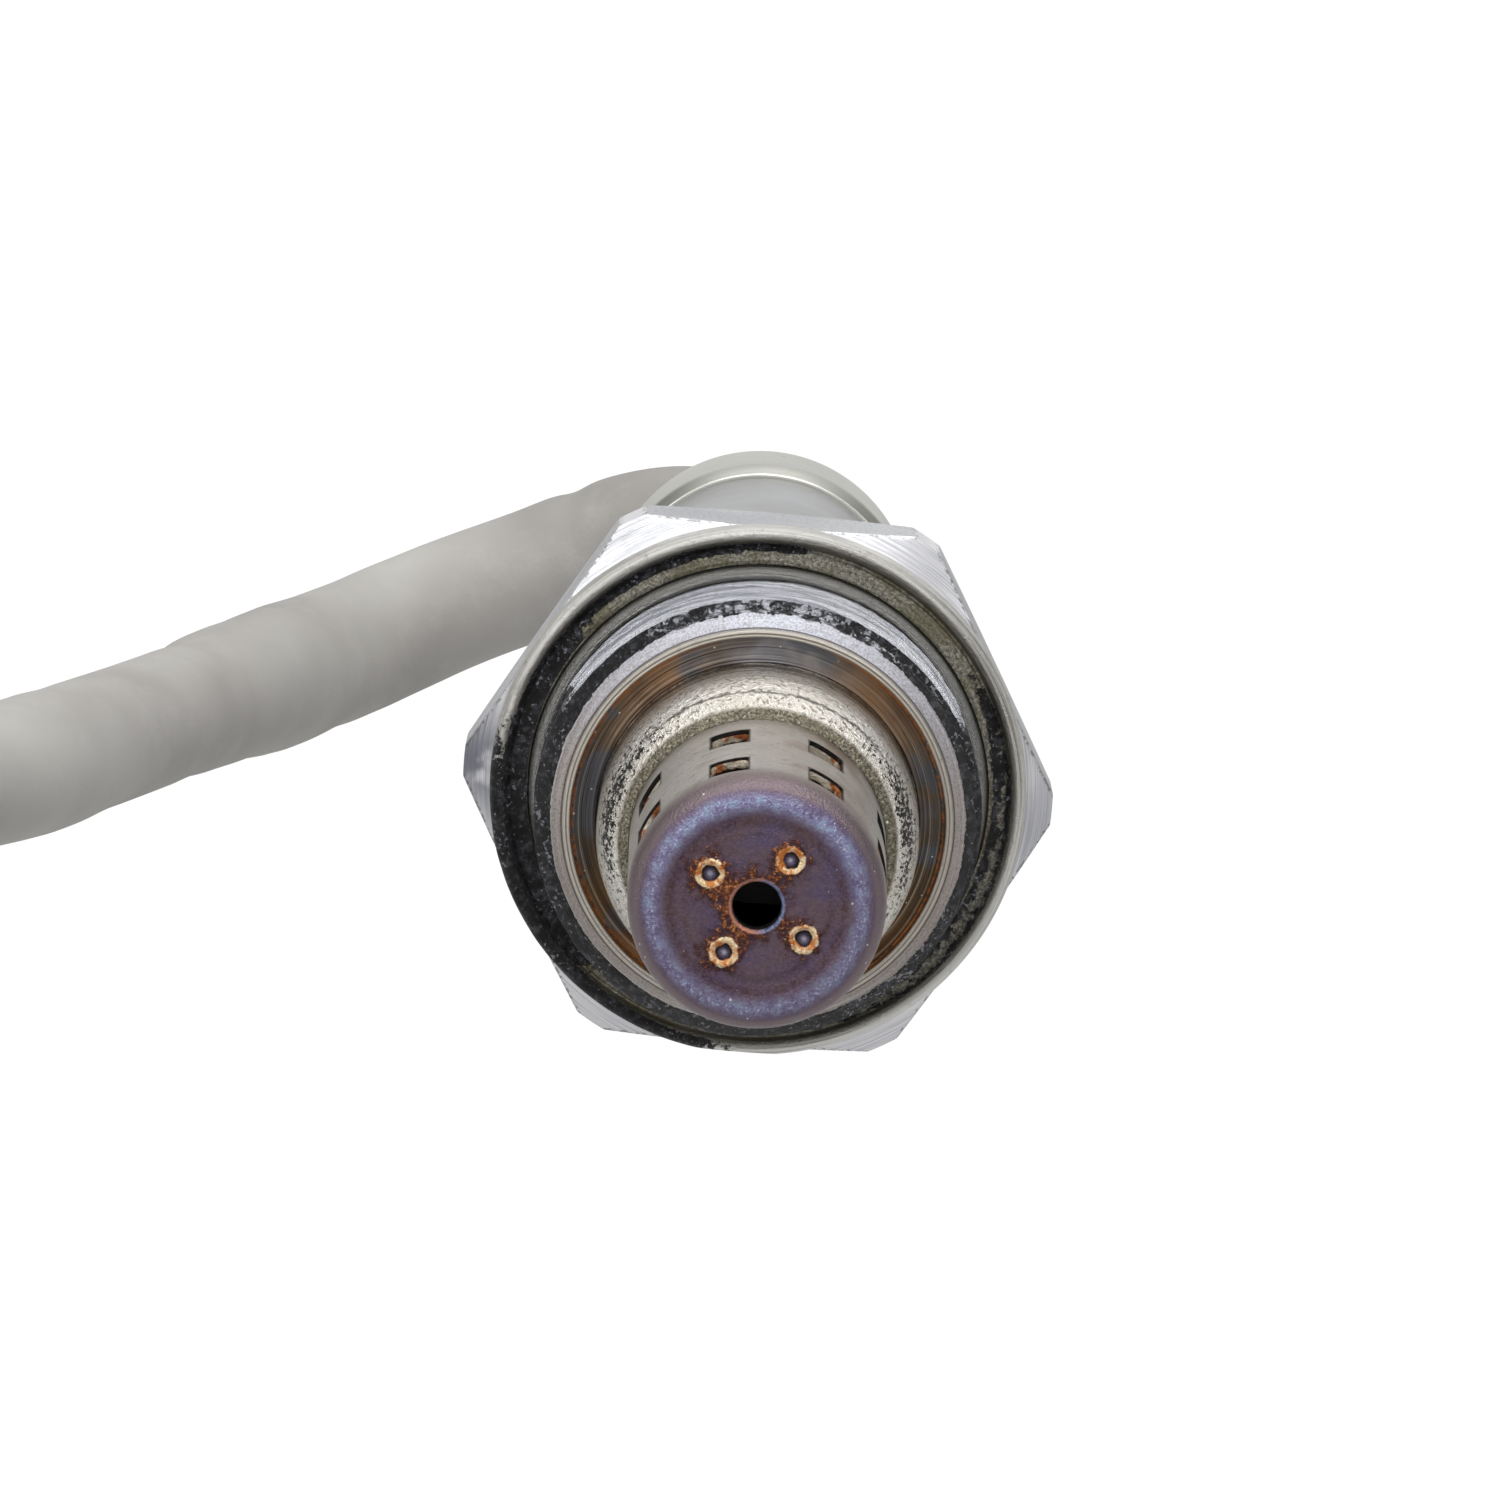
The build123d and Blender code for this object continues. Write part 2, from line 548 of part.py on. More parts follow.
def cable_coil():
    """The coil's outer shape: a full turn, with the last part lying on the first and pinched by the tie."""
    base = ring_sector(
        Pos(0, FIRST_LAYER) * Circle(CABLE_RADIUS), COIL_BASE_END_ANGLE, 360 + COIL_ENTRY_ANGLE
    )
    top = ring_sector(
        Pos(0, SECOND_LAYER) * Circle(CABLE_RADIUS), COIL_EXIT_ANGLE, COIL_OVERLAP_ANGLE
    )
    web = Pos(0, (FIRST_LAYER + SECOND_LAYER) / 2) * Rectangle(CABLE_RADIUS, SECOND_LAYER - FIRST_LAYER)
    return base + top + ring_sector(web, COIL_EXIT_ANGLE + WEB_INSET, COIL_ENTRY_ANGLE - WEB_INSET)


def connector_place():
    """Puts a piece drawn in the connector's frame on the end of the lead."""
    return Location(tuple(CONNECTOR_BACK), (0, 0, 180))


def block(length, width, height, start=0.0, corner=None):
    """A block along the plug-in direction, with its long edges rounded if a corner radius is given."""
    outline = RectangleRounded(width, height, corner) if corner else Rectangle(width, height)
    return Plane(origin=(start, 0, 0), x_dir=(0, 1, 0), z_dir=(1, 0, 0)) * extrude(outline, length)


def round_bar(radius, start, length, place=(0, 0)):
    """A round bar along the plug-in direction."""
    return Plane(origin=(start, place[0], place[1]), x_dir=(0, 1, 0), z_dir=(1, 0, 0)) * extrude(
        Circle(radius), length
    )


def connector_boot():
    """Tapered rubber sleeve at the back of the connector, before the lead is taken out of it."""
    taper = Polyline(
        (-BOOT_LENGTH, 0), (-BOOT_LENGTH, BOOT_TIP_RADIUS), (0, BOOT_ROOT_RADIUS), (0, 0), close=True
    )
    return revolve(Plane.XZ * make_face(taper), Axis.X)


def connector_body():
    """Moulded shroud with a lock ramp, ribs that it stands on, a pocket at the back and four cavities."""
    body = block(SHROUD_START, BODY_WIDTH, BODY_HEIGHT, corner=BODY_CORNER)
    body += block(
        BODY_LENGTH - SHROUD_START, SHROUD_WIDTH, SHROUD_HEIGHT, SHROUD_START, SHROUD_CORNER
    )
    ramp = Plane.XZ * make_face(
        Polyline((0, 0), (RAMP_SIZE[0], 0), (0, RAMP_SIZE[2]), close=True)
    )
    body += Pos(BODY_LENGTH - RAMP_SIZE[0], 0, SHROUD_HEIGHT / 2) * extrude(ramp, RAMP_SIZE[1] / 2, both=True)
    foot = SECOND_LAYER
    for y in (-RIB_SPACING / 2, RIB_SPACING / 2):
        body += Pos(BODY_LENGTH / 2, y, -foot / 2) * Box(BODY_LENGTH, RIB_WIDTH, foot)
    cavity_width = SHROUD_WIDTH - 2 * SHROUD_WALL
    cavity_height = SHROUD_HEIGHT - 2 * SHROUD_WALL
    cavity_corner = min(1.0, SHROUD_CORNER / 2)
    body -= block(BODY_LENGTH - SHROUD_FLOOR, cavity_width, cavity_height, SHROUD_FLOOR, cavity_corner)
    body -= block(RETAINER_LENGTH + REAR_SEAL_LENGTH, POCKET_WIDTH, POCKET_HEIGHT, corner=POCKET_CORNER)
    for place in LEAD_PLACES:
        body -= Pos(0, *place) * block(SHROUD_FLOOR, CAVITY_SIZE, CAVITY_SIZE)
    return body


def pierced_block(start, length, corner, hole):
    """A block that fills the back pocket, with one hole for each lead."""
    piece = block(length, POCKET_WIDTH, POCKET_HEIGHT, start, corner)
    for place in LEAD_PLACES:
        piece -= round_bar(hole, start, length, place)
    return piece


def terminal_lock():
    """Plate on the shroud's floor that keeps the terminals from backing out."""
    fit = 0.1
    plate = block(
        LOCK_LENGTH,
        SHROUD_WIDTH - 2 * SHROUD_WALL - 2 * fit,
        SHROUD_HEIGHT - 2 * SHROUD_WALL - 2 * fit,
        SHROUD_FLOOR,
        min(1.0, SHROUD_CORNER / 2),
    )
    for place in LEAD_PLACES:
        plate -= Pos(0, *place) * block(LOCK_LENGTH, PIN_SIZE, PIN_SIZE, SHROUD_FLOOR)
    return plate


def terminal(place):
    """Crimp and pin in one piece, with the pin standing in the shroud."""
    crimp = block(SHROUD_FLOOR - TERMINAL_BACK, TERMINAL_WIDTH, TERMINAL_WIDTH, TERMINAL_BACK)
    pin = block(PIN_STAND, PIN_SIZE, PIN_SIZE, SHROUD_FLOOR)
    return Pos(0, *place) * (crimp + pin) - round_bar(
        CONDUCTOR_RADIUS, TERMINAL_BACK, TERMINAL_CRIMP_LENGTH, place
    )


def connector_lead(place):
    """Insulated wire from the end of the sheath, through retainer and seal, into the terminal's crimp."""
    core = round_bar(CONDUCTOR_RADIUS, TERMINAL_BACK, TERMINAL_CRIMP_LENGTH, place)
    return core + round_bar(LEAD_RADIUS, 0, TERMINAL_BACK, place)


def main():
    on_sensor = {
        "housing": housing(),
        "sealing_gasket": sealing_gasket(),
        "outer_protection_tube": outer_protection_tube(),
        "inner_protection_tube": inner_protection_tube(),
        "sensing_element": sensing_element(),
        "front_insulator": slotted_disc(PACK_RADIUS, SEAT_HEIGHT, FRONT_INSULATOR_LENGTH, ELEMENT_FIT),
        "powder_seal": slotted_disc(PACK_RADIUS, POWDER_TOP, POWDER_LENGTH, 0),
        "rear_insulator": slotted_disc(PACK_RADIUS, REAR_INSULATOR_TOP, REAR_INSULATOR_LENGTH, ELEMENT_FIT),
        "preload_ring": preload_ring(),
        "rear_sleeve": rear_sleeve(),
        "end_cover": end_cover(),
        "cable_grommet": cable_grommet(),
        "contact_holder_upper": contact_holder(1),
        "contact_holder_lower": contact_holder(-1),
        "holder_clip": holder_clip(),
    }
    for n, place in enumerate(LEAD_PLACES, 1):
        on_sensor[f"contact_spring_{n}"] = contact_spring(place)
        on_sensor[f"sensor_lead_{n}"] = sensor_lead(place)

    on_connector = {
        "connector_boot": connector_boot(),
        "connector_body": connector_body(),
        "seal_retainer": pierced_block(0, RETAINER_LENGTH, POCKET_CORNER, LEAD_RADIUS),
        "connector_rear_seal": pierced_block(RETAINER_LENGTH, REAR_SEAL_LENGTH, POCKET_CORNER, LEAD_RADIUS),
        "terminal_lock": terminal_lock(),
    }
    for n, place in enumerate(LEAD_PLACES, 1):
        on_connector[f"terminal_{n}"] = terminal(place)
        on_connector[f"connector_lead_{n}"] = connector_lead(place)

    tie = coil_tie()
    nodes = {
        "lead_cable": cable(LEAD_ROUTE, "lead_cable"),
        "cable_coil": cable_coil() - tie,
        "coil_tie": tie,
        "cable_tail": cable(TAIL_ROUTE, "cable_tail"),
    }
    nodes.update({name: SENSOR_PLACE * shape for name, shape in on_sensor.items()})
    nodes.update({name: connector_place() * shape for name, shape in on_connector.items()})
    nodes["connector_boot"] -= nodes["cable_tail"]  # the soft boot follows the last bend of the lead

    os.makedirs("parts", exist_ok=True)
    for name, shape in nodes.items():
        export_step(shape, f"parts/{name}.step")


main()
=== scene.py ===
import math

import bpy
import numpy as np
from mathutils import Matrix, Vector


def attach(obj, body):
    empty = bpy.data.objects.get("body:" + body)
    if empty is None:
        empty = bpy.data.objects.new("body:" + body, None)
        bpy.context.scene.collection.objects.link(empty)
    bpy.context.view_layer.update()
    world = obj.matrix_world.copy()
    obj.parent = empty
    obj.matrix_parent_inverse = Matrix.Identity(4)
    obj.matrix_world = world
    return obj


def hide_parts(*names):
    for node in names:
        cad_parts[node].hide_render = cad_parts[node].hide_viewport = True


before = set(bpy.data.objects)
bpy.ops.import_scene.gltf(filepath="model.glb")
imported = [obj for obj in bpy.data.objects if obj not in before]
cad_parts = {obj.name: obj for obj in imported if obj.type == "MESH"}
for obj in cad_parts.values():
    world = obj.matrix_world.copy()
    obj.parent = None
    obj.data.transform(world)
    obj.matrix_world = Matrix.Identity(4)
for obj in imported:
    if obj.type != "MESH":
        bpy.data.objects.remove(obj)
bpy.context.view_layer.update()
MM = 0.001
FULL_TURN = 2 * math.pi

# --------------------------------------
# Camera, table and light: a macro view of the sensor's tip, from just above its axis, on a white table under
# a wide soft box. The camera leans a little, so the hexagon stands a few degrees clockwise in the frame.

AXIS_HEIGHT = 10.8
DATUM_Y = -10.8  # where heights along the sensor's axis start; they grow towards the tip
VIEW_TARGET = (0.0, DATUM_Y - 1.0, AXIS_HEIGHT)  # the middle of the hexagon's face, in mm
VIEW_AZIMUTH = math.radians(0.744)
VIEW_ELEVATION = math.radians(10.439)
VIEW_ROLL = math.radians(4.959)
VIEW_DISTANCE = 302.71
VIEW_OFFSET = (0.327, 1.552)  # of the target from the middle of the frame, right and down, in mm
SENSOR_WIDTH = 36.0
LENS = 177.6

forward = Vector((
    math.sin(VIEW_AZIMUTH) * math.cos(VIEW_ELEVATION),
    math.cos(VIEW_AZIMUTH) * math.cos(VIEW_ELEVATION),
    -math.sin(VIEW_ELEVATION),
))
level = forward.cross(Vector((0, 0, 1))).normalized()
right = Matrix.Rotation(-VIEW_ROLL, 3, forward) @ level
up = right.cross(forward)
camera_place = Vector(VIEW_TARGET) - forward * VIEW_DISTANCE - right * VIEW_OFFSET[0] + up * VIEW_OFFSET[1]

camera_data = bpy.data.cameras.new("camera")
camera_data.sensor_width = SENSOR_WIDTH
camera_data.lens = LENS
camera_data.clip_start = 0.01
camera_data.clip_end = 10.0
camera = bpy.data.objects.new("camera", camera_data)
bpy.context.scene.collection.objects.link(camera)
turned = Matrix((right, up, -forward)).transposed().to_4x4()
camera.matrix_world = Matrix.Translation(camera_place * MM) @ turned
bpy.context.scene.camera = camera
bpy.context.scene.view_settings.view_transform = "Standard"


class Value:
    """One output of a shader's node. It works in a formula as a number does: each sign adds a Math node."""

    def __init__(self, socket):
        self.socket = socket
        self.tree = socket.id_data

    def math(self, operation, *others):
        """A Math node's result, with this as its first value."""
        return node(self.tree, "ShaderNodeMath", dict(enumerate((self, *others))), operation=operation)

    def __abs__(self):
        return self.math("ABSOLUTE")

    def __add__(self, other):
        return self.math("ADD", other)

    def __sub__(self, other):
        return self.math("SUBTRACT", other)

    def __rsub__(self, other):
        return node(self.tree, "ShaderNodeMath", {0: other, 1: self}, operation="SUBTRACT")

    def __mul__(self, other):
        return self.math("MULTIPLY", other)


def new_node(tree, kind, inputs=None, **settings):
    """Adds a node with these settings, and feeds its inputs with constants or with Values."""
    made = tree.nodes.new(kind)
    for name, value in settings.items():
        setattr(made, name, value)
    for name, value in (inputs or {}).items():
        if isinstance(value, Value):
            tree.links.new(value.socket, made.inputs[name])
        else:
            made.inputs[name].default_value = value
    return made


def node(tree, kind, inputs=None, out=0, **settings):
    """Adds a node and gives one of its outputs."""
    return Value(new_node(tree, kind, inputs, **settings).outputs[out])


def within(value, low, high, most=1.0, least=0.0):
    """A share that rises smoothly from least where value is at low to most where it is at high."""
    inputs = {"Value": value, "From Min": low, "From Max": high, "To Min": least, "To Max": most}
    return node(value.tree, "ShaderNodeMapRange", inputs, interpolation_type="SMOOTHSTEP")


def blend(share, first, second):
    """The first number, giving way to the second by share; a Mix node takes them at its inputs 2 and 3."""
    return node(share.tree, "ShaderNodeMix", {0: share, 2: first, 3: second})


def finish(name, build):
    """A material whose Principled shader takes the inputs that build(tree) gives."""
    material = bpy.data.materials.new(name)
    material.use_nodes = True
    tree = material.node_tree
    tree.nodes.clear()
    shader = node(tree, "ShaderNodeBsdfPrincipled", build(tree))
    new_node(tree, "ShaderNodeOutputMaterial", {"Surface": shader})
    return material


def mesh_piece(name, vertices, faces, materials, crease=35.0, material_rows=None):
    """A new smooth-shaded object at the origin, from an array of vertices in mm and its faces, sharp where
    it turns by more than crease degrees. material_rows gives each face its place in materials."""
    mesh = bpy.data.meshes.new(name)
    mesh.from_pydata((vertices.reshape(-1, 3) * MM).tolist(), [], faces)
    mesh.shade_smooth()
    mesh.set_sharp_from_angle(angle=math.radians(crease))
    for material in materials:
        mesh.materials.append(material)
    if material_rows is not None:
        mesh.polygons.foreach_set("material_index", material_rows)
    piece = bpy.data.objects.new(name, mesh)
    bpy.context.scene.collection.objects.link(piece)
    return piece


FLOOR_HALF = 1500.0
FLOOR_LIGHT = 0.55


def table_finish(tree):
    """A white light table: pure white to look at, and softer as a light."""
    glow = blend(node(tree, "ShaderNodeLightPath", out="Is Camera Ray"), FLOOR_LIGHT, 1.0)
    white = (1, 1, 1, 1)
    return {"Base Color": (0, 0, 0, 1), "Roughness": 1.0, "Emission Color": white, "Emission Strength": glow}


floor_corners = np.array([(-1, -1, 0), (1, -1, 0), (1, 1, 0), (-1, 1, 0)]) * FLOOR_HALF
floor = mesh_piece("floor", floor_corners, [(0, 1, 2, 3)], [finish("table_white", table_finish)])


def soft_box(name, place, size, power, color=(1, 1, 1)):
    """A rectangular studio light in mm, turned towards the sensor."""
    data = bpy.data.lights.new(name, "AREA")
    data.shape = "RECTANGLE"
    data.size = size[0] * MM
    data.size_y = size[1] * MM
    data.energy = power
    data.color = color
    light = bpy.data.objects.new(name, data)
    bpy.context.scene.collection.objects.link(light)
    away = (Vector(place) - Vector(VIEW_TARGET)).to_track_quat("Z", "Y")
    light.matrix_world = Matrix.Translation(Vector(place) * MM) @ away.to_matrix().to_4x4()


soft_box("top_box", (0, -120, 420), (420, 320), 0.95)
soft_box("left_box", (-420, -330, 240), (200, 260), 0.7)
soft_box("right_box", (460, -300, 260), (160, 260), 0.3)

# The white tent round the table is bright in front, above and behind, and dark at both sides, so that round
# steel shows a dark edge.
WORLD_SEEN = 1.0
WORLD_LIGHT = 0.78
WORLD_SIDES = 0.24
world = bpy.data.worlds.new("tent")
world.use_nodes = True
tent = world.node_tree
tent.nodes.clear()
direction = node(tent, "ShaderNodeTexCoord", out="Generated")
sideways = abs(node(tent, "ShaderNodeSeparateXYZ", {0: direction}))
tent_light = within(sideways, 0.25, 0.75, WORLD_SIDES, WORLD_LIGHT)
strength = blend(node(tent, "ShaderNodeLightPath", out="Is Camera Ray"), tent_light, WORLD_SEEN)
background = node(tent, "ShaderNodeBackground", {"Color": (1, 1, 1, 1), "Strength": strength})
new_node(tent, "ShaderNodeOutputWorld", {"Surface": background})
bpy.context.scene.world = world

# --------------------------------------
# The lead: four wires in one soft grey silicone sheath, 6.4 mm thick. It leaves the grommet straight back,
# turns left behind the sensor, comes down to the table, and is put away in a coil that ends in the connector.

SHEATH_DIAMETER = 6.4
SHEATH_RADIUS = SHEATH_DIAMETER / 2
ON_LEAD = 9.7  # height of the lead's middle where it lies on itself
COIL_MIDDLE = (-78.0, 24.2)
COIL_RADIUS = 34.0
COIL_ENTRY = -60.0  # degrees, seen from above; the turns run clockwise
COIL_TURN = 414.0
COIL_STEPS = 18
CLIMB_FROM = 75.0  # degrees before the lead passes over its own entry
CLIMB_TO = 15.0
RINGS_PER_SPAN = 24
SHEATH_SIDES = 72
SLOW_LUMP = 0.10
QUICK_LUMP = 0.05
SETTLE = 4  # length over which the skin's lumps grow, from the grommet

step = COIL_TURN / COIL_STEPS
coil_angles = COIL_ENTRY - step * (np.arange(COIL_STEPS) + 0.5)
before_crossing = coil_angles - (COIL_ENTRY - 360.0)
coil_heights = np.interp(-before_crossing, (-CLIMB_FROM, -CLIMB_TO), (SHEATH_RADIUS, ON_LEAD))
coil_reach = COIL_RADIUS / math.cos(math.radians(step / 2))
coil_points = [
    (
        COIL_MIDDLE[0] + coil_reach * math.cos(math.radians(angle)),
        COIL_MIDDLE[1] + coil_reach * math.sin(math.radians(angle)),
        height,
    )
    for angle, height in zip(coil_angles, coil_heights)
]
lead_route = [
    (0.0, 34.3, AXIS_HEIGHT),
    (0.0, 43.7, AXIS_HEIGHT),
    (0.0, 52.5, AXIS_HEIGHT),
    (-5.3, 58.8, 10.0),
    (-13.4, 60.3, 6.2),
    (-20.1, 55.6, SHEATH_RADIUS),
    (-24.5, 42.6, SHEATH_RADIUS),
    (-29.2, 28.4, SHEATH_RADIUS),
    (-34.0, 13.8, SHEATH_RADIUS),
    (-41.08, 6.26, SHEATH_RADIUS),
    *coil_points,
    (-103.70, -1.57, ON_LEAD),
    (-116.42, 1.13, ON_LEAD),
    (-129.42, 1.13, ON_LEAD),
]


def nurbs_points(route, fine):
    """The middle line of a smooth cord, in mm: the points of a quadratic NURBS curve over the route."""
    curve = bpy.data.curves.new("cord_line", "CURVE")
    curve.dimensions = "3D"
    spline = curve.splines.new("NURBS")
    spline.points.add(len(route) - 1)
    spline.points.foreach_set("co", np.c_[np.array(route) * MM, np.ones(len(route))].ravel())
    spline.order_u = 3
    spline.use_endpoint_u = True
    spline.resolution_u = fine
    line = bpy.data.objects.new("cord_line", curve)
    mesh = bpy.data.meshes.new_from_object(line)
    points = np.zeros(len(mesh.vertices) * 3)
    mesh.vertices.foreach_get("co", points)
    bpy.data.objects.remove(line)
    bpy.data.curves.remove(curve)
    bpy.data.meshes.remove(mesh)
    return points.reshape(-1, 3) / MM


def grid_faces(rows, columns, ring=False):
    """Quads between neighbouring points of a grid whose rows close on themselves; ring joins the last row to
    the first as well."""
    row, column = np.meshgrid(np.arange(rows if ring else rows - 1), np.arange(columns), indexing="ij")
    below, beside = (row + 1) % rows, (column + 1) % columns
    corners = (row, column), (row, beside), (below, beside), (below, column)
    return np.stack([(r * columns + c).ravel() for r, c in corners], axis=1)


def lumps(u, v, cells, seed):
    """Smooth random values from -1 to 1 that repeat over the unit square both ways.

    A seeded lattice of cells[0] by cells[1] values is read between its points with smoothstep weights."""
    lattice = np.random.default_rng(seed).uniform(-1, 1, cells)
    a, b = u * cells[0], v * cells[1]
    i, j = np.floor(a).astype(int), np.floor(b).astype(int)
    s, t = a - i, b - j
    s, t = s * s * (3 - 2 * s), t * t * (3 - 2 * t)
    i, j, i_next, j_next = i % cells[0], j % cells[1], (i + 1) % cells[0], (j + 1) % cells[1]
    near = lattice[i, j] * (1 - t) + lattice[i, j_next] * t
    far = lattice[i_next, j] * (1 - t) + lattice[i_next, j_next] * t
    return near * (1 - s) + far * s


def hill(distance, width):
    """A smooth bump of height 1 at distance 0 that has died away at twice the width."""
    return np.exp(-(distance / width) ** 2)


lead_line = nurbs_points(lead_route, RINGS_PER_SPAN)
lead_distance = np.r_[0, np.cumsum(np.linalg.norm(np.diff(lead_line, axis=0), axis=1))]
tangent = np.gradient(lead_line, axis=0)
tangent /= np.linalg.norm(tangent, axis=1, keepdims=True)
across = np.cross(tangent, (0, 0, 1.0))
across /= np.linalg.norm(across, axis=1, keepdims=True)
upright = np.cross(across, tangent)

# The skin's radius is the sheath's, with slow and quick lumps, a swelling round the bend behind the sensor,
# and creases on the inside of that bend, each a narrow valley that dies out round the lead.
SWELLINGS = (  # place along the lead, width and rise
    (23.5, 6.0, 0.32), (38.5, 5.0, 0.16), (51.5, 8.0, 0.22), (70.5, 9.0, -0.12),
)
CREASES = (  # place along the lead, width, rise and side in degrees
    (16.0, 0.9, -0.34, 200.0), (19.7, 0.7, -0.42, 250.0), (29.0, 0.8, -0.2, 60.0), (62.5, 1.1, -0.16, 90.0),
)
turn = np.linspace(0, FULL_TURN, SHEATH_SIDES, endpoint=False)
share, around_share = np.meshgrid(lead_distance / lead_distance[-1], turn / FULL_TURN, indexing="ij")
slow_lumps = lumps(share, around_share, (75, 4), 3)
quick_lumps = lumps(share, around_share, (160, 7), 4)
skin_radius = SHEATH_RADIUS + SLOW_LUMP * slow_lumps + QUICK_LUMP * quick_lumps
for place, width, rise in SWELLINGS:
    skin_radius += rise * hill(lead_distance - place, width)[:, None]
for place, width, rise, side in CREASES:
    facing = 0.5 + 0.5 * np.cos(turn - math.radians(side))
    skin_radius += rise * hill(lead_distance - place, width)[:, None] * facing
settle = np.clip(lead_distance / SETTLE, 0, 1)[:, None]
skin_radius = SHEATH_RADIUS + (skin_radius - SHEATH_RADIUS) * settle
outwards = np.cos(turn)[:, None] * across[:, None] + np.sin(turn)[:, None] * upright[:, None]
sheath_skin = lead_line[:, None] + skin_radius[..., None] * outwards
sheath_skin[..., 2] = np.maximum(sheath_skin[..., 2], 0)


def srgb(red, green, blue):
    """A colour as a screen shows it, 0 to 255, in the linear values that a shader takes."""
    shown = np.array([red, green, blue]) / 255
    linear = np.where(shown > 0.04045, ((shown + 0.055) / 1.055) ** 2.4, shown / 12.92)
    return (*linear.tolist(), 1.0)


def colors(value, *stops):
    """A colour that runs through the stops, (place, colour), as the value runs from 0 to 1."""
    ramp = new_node(value.tree, "ShaderNodeValToRGB", {"Fac": value})
    elements = ramp.color_ramp.elements
    for extra in stops[2:]:
        elements.new(extra[0])
    for element, (place, color) in zip(elements, stops):
        element.position = place
        element.color = srgb(*color)
    return Value(ramp.outputs["Color"])


def mixed(share, first, second):
    """The first colour, giving way to the second by share. A Mix node takes colours at its inputs 6 and 7,
    and gives them at its output 2."""
    first, second = (color if isinstance(color, Value) else srgb(*color) for color in (first, second))
    inputs = {"Factor": share, 6: first, 7: second}
    return node(share.tree, "ShaderNodeMix", inputs, out=2, data_type="RGBA")


def noise(place, scale, detail=3.0, roughness=0.5):
    """A noise texture's value, at a scale in waves per unit of the place."""
    inputs = {"Vector": place, "Scale": scale, "Detail": detail, "Roughness": roughness}
    return node(place.tree, "ShaderNodeTexNoise", inputs)


def surface(color, roughness, height, strength, depth, metallic=0.0, shine=0.5):
    """A Principled shader's inputs, with bumps where the height changes, of a depth in metres."""
    bumps = node(height.tree, "ShaderNodeBump", {"Height": height, "Strength": strength, "Distance": depth})
    return {
        "Base Color": color, "Roughness": roughness, "Metallic": metallic, "Specular IOR Level": shine,
        "Normal": bumps,
    }


def sheath_finish(tree):
    """Matte silicone: warm grey with soft paler and darker blotches, rubbed dark spots and a fine dusty
    grain."""
    place = node(tree, "ShaderNodeTexCoord", out="Object")
    slow = noise(place, 95.0, 2.0)
    quick = noise(place, 420.0, 4.0, 0.65)
    grain = noise(place, 5200.0, 3.0)
    spots = noise(place, 150.0, 5.0, 0.7)
    tone = colors(slow, (0.32, (164, 161, 157)), (0.5, (180, 177, 173)), (0.68, (192, 190, 185)))
    dusty = mixed(within(quick, 0.45, 0.75, 0.35), tone, (196, 194, 190))
    rubbed = mixed(within(spots, 0.68, 0.78, 0.5), dusty, (126, 120, 116))
    return surface(rubbed, 0.72, shine=0.35, height=quick * grain, strength=0.35, depth=0.00012)


rings = len(lead_line)
first_cap = list(range(SHEATH_SIDES))
last_cap = list(range(rings * SHEATH_SIDES - 1, (rings - 1) * SHEATH_SIDES - 1, -1))
sheath_faces = grid_faces(rings, SHEATH_SIDES)[:, ::-1].tolist() + [first_cap, last_cap]
sheath_grey = finish("sheath_grey", sheath_finish)
sheath = mesh_piece("lead_sheath", sheath_skin, sheath_faces, [sheath_grey])
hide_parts("lead_cable", "cable_coil", "cable_tail")
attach(sheath, "root")

# --------------------------------------
# The outer protection tube: a cup drawn from 0.5 mm steel, with a flange under the nose's lip, a domed
# collar, two rows of gas windows and four spot welds to the inner tube round its end hole. Heat has turned
# its end purple-blue, with rust round the hole and straw-coloured rings round the welds.

TUBE_WALL = 0.5
TIP_HEIGHT = 25.0
TIP_RADIUS = 4.92
TIP_EDGE = 1.1
END_HOLE = 0.925
HOLE_EDGE = 0.14
TUBE_ROOT = (5.05, 13.26)  # radius and height where the tube leaves the collar's shoulder
SHOULDER = (5.5, 13.1)
DOME_RADIUS = 3.0
COLLAR_RADIUS = 6.4
COLLAR_TOP = 10.96
FLANGE_TOP = 8.1
FLANGE_RADIUS = 7.5
WELD_CIRCLE = 2.17
WELD_FIRST = math.radians(30.6)
WELDS = 4
WELD_PIT = (0.15, 0.27)  # depth and width
WELD_RIM = (0.06, 0.5, 0.12)  # height, radius and width
END_STEP = (0.05, 3.75, 0.35)  # depth, radius where the end starts to sink, and width
END_RING = (0.03, 3.0, 0.18)  # depth, radius and width of a faint groove in the end
END_LUMP = 0.015
END_FADE = 0.8  # width over which the end's relief dies away at its rolled edge
WINDOW_FIRST = math.radians(27.7)
WINDOWS = 8
WINDOW_HEIGHTS = (16.4, 21.9)
WINDOW_HALF = (0.75, 1.25)
WINDOW_CORNER = 0.3
TUBE_COLUMNS = 208
NUDGE = 0.01  # half the step over which a gap's slope is measured
FAR = 9.0  # a gap well away from every window


def about_axis(radius, around, height):
    """Places on the sensor in mm, from the radius, the angle clockwise from straight up as seen from the tip,
    and the height along the axis."""
    radius, around, height = np.broadcast_arrays(radius, around, height)
    return np.stack(
        [radius * np.sin(around), DATUM_Y - height, AXIS_HEIGHT + radius * np.cos(around)], axis=-1,
    )


def evenly_round(columns):
    """The angles of that many columns, evenly spaced round the axis."""
    return np.linspace(0, FULL_TURN, columns, endpoint=False)


def revolved(section, around):
    """Grids of the radius, angle and height of a section's points at each angle, a row for each point."""
    radius, turn = np.meshgrid(section[:, 0], around, indexing="ij")
    return radius, turn, np.repeat(section[:, 1:], len(around), axis=1)


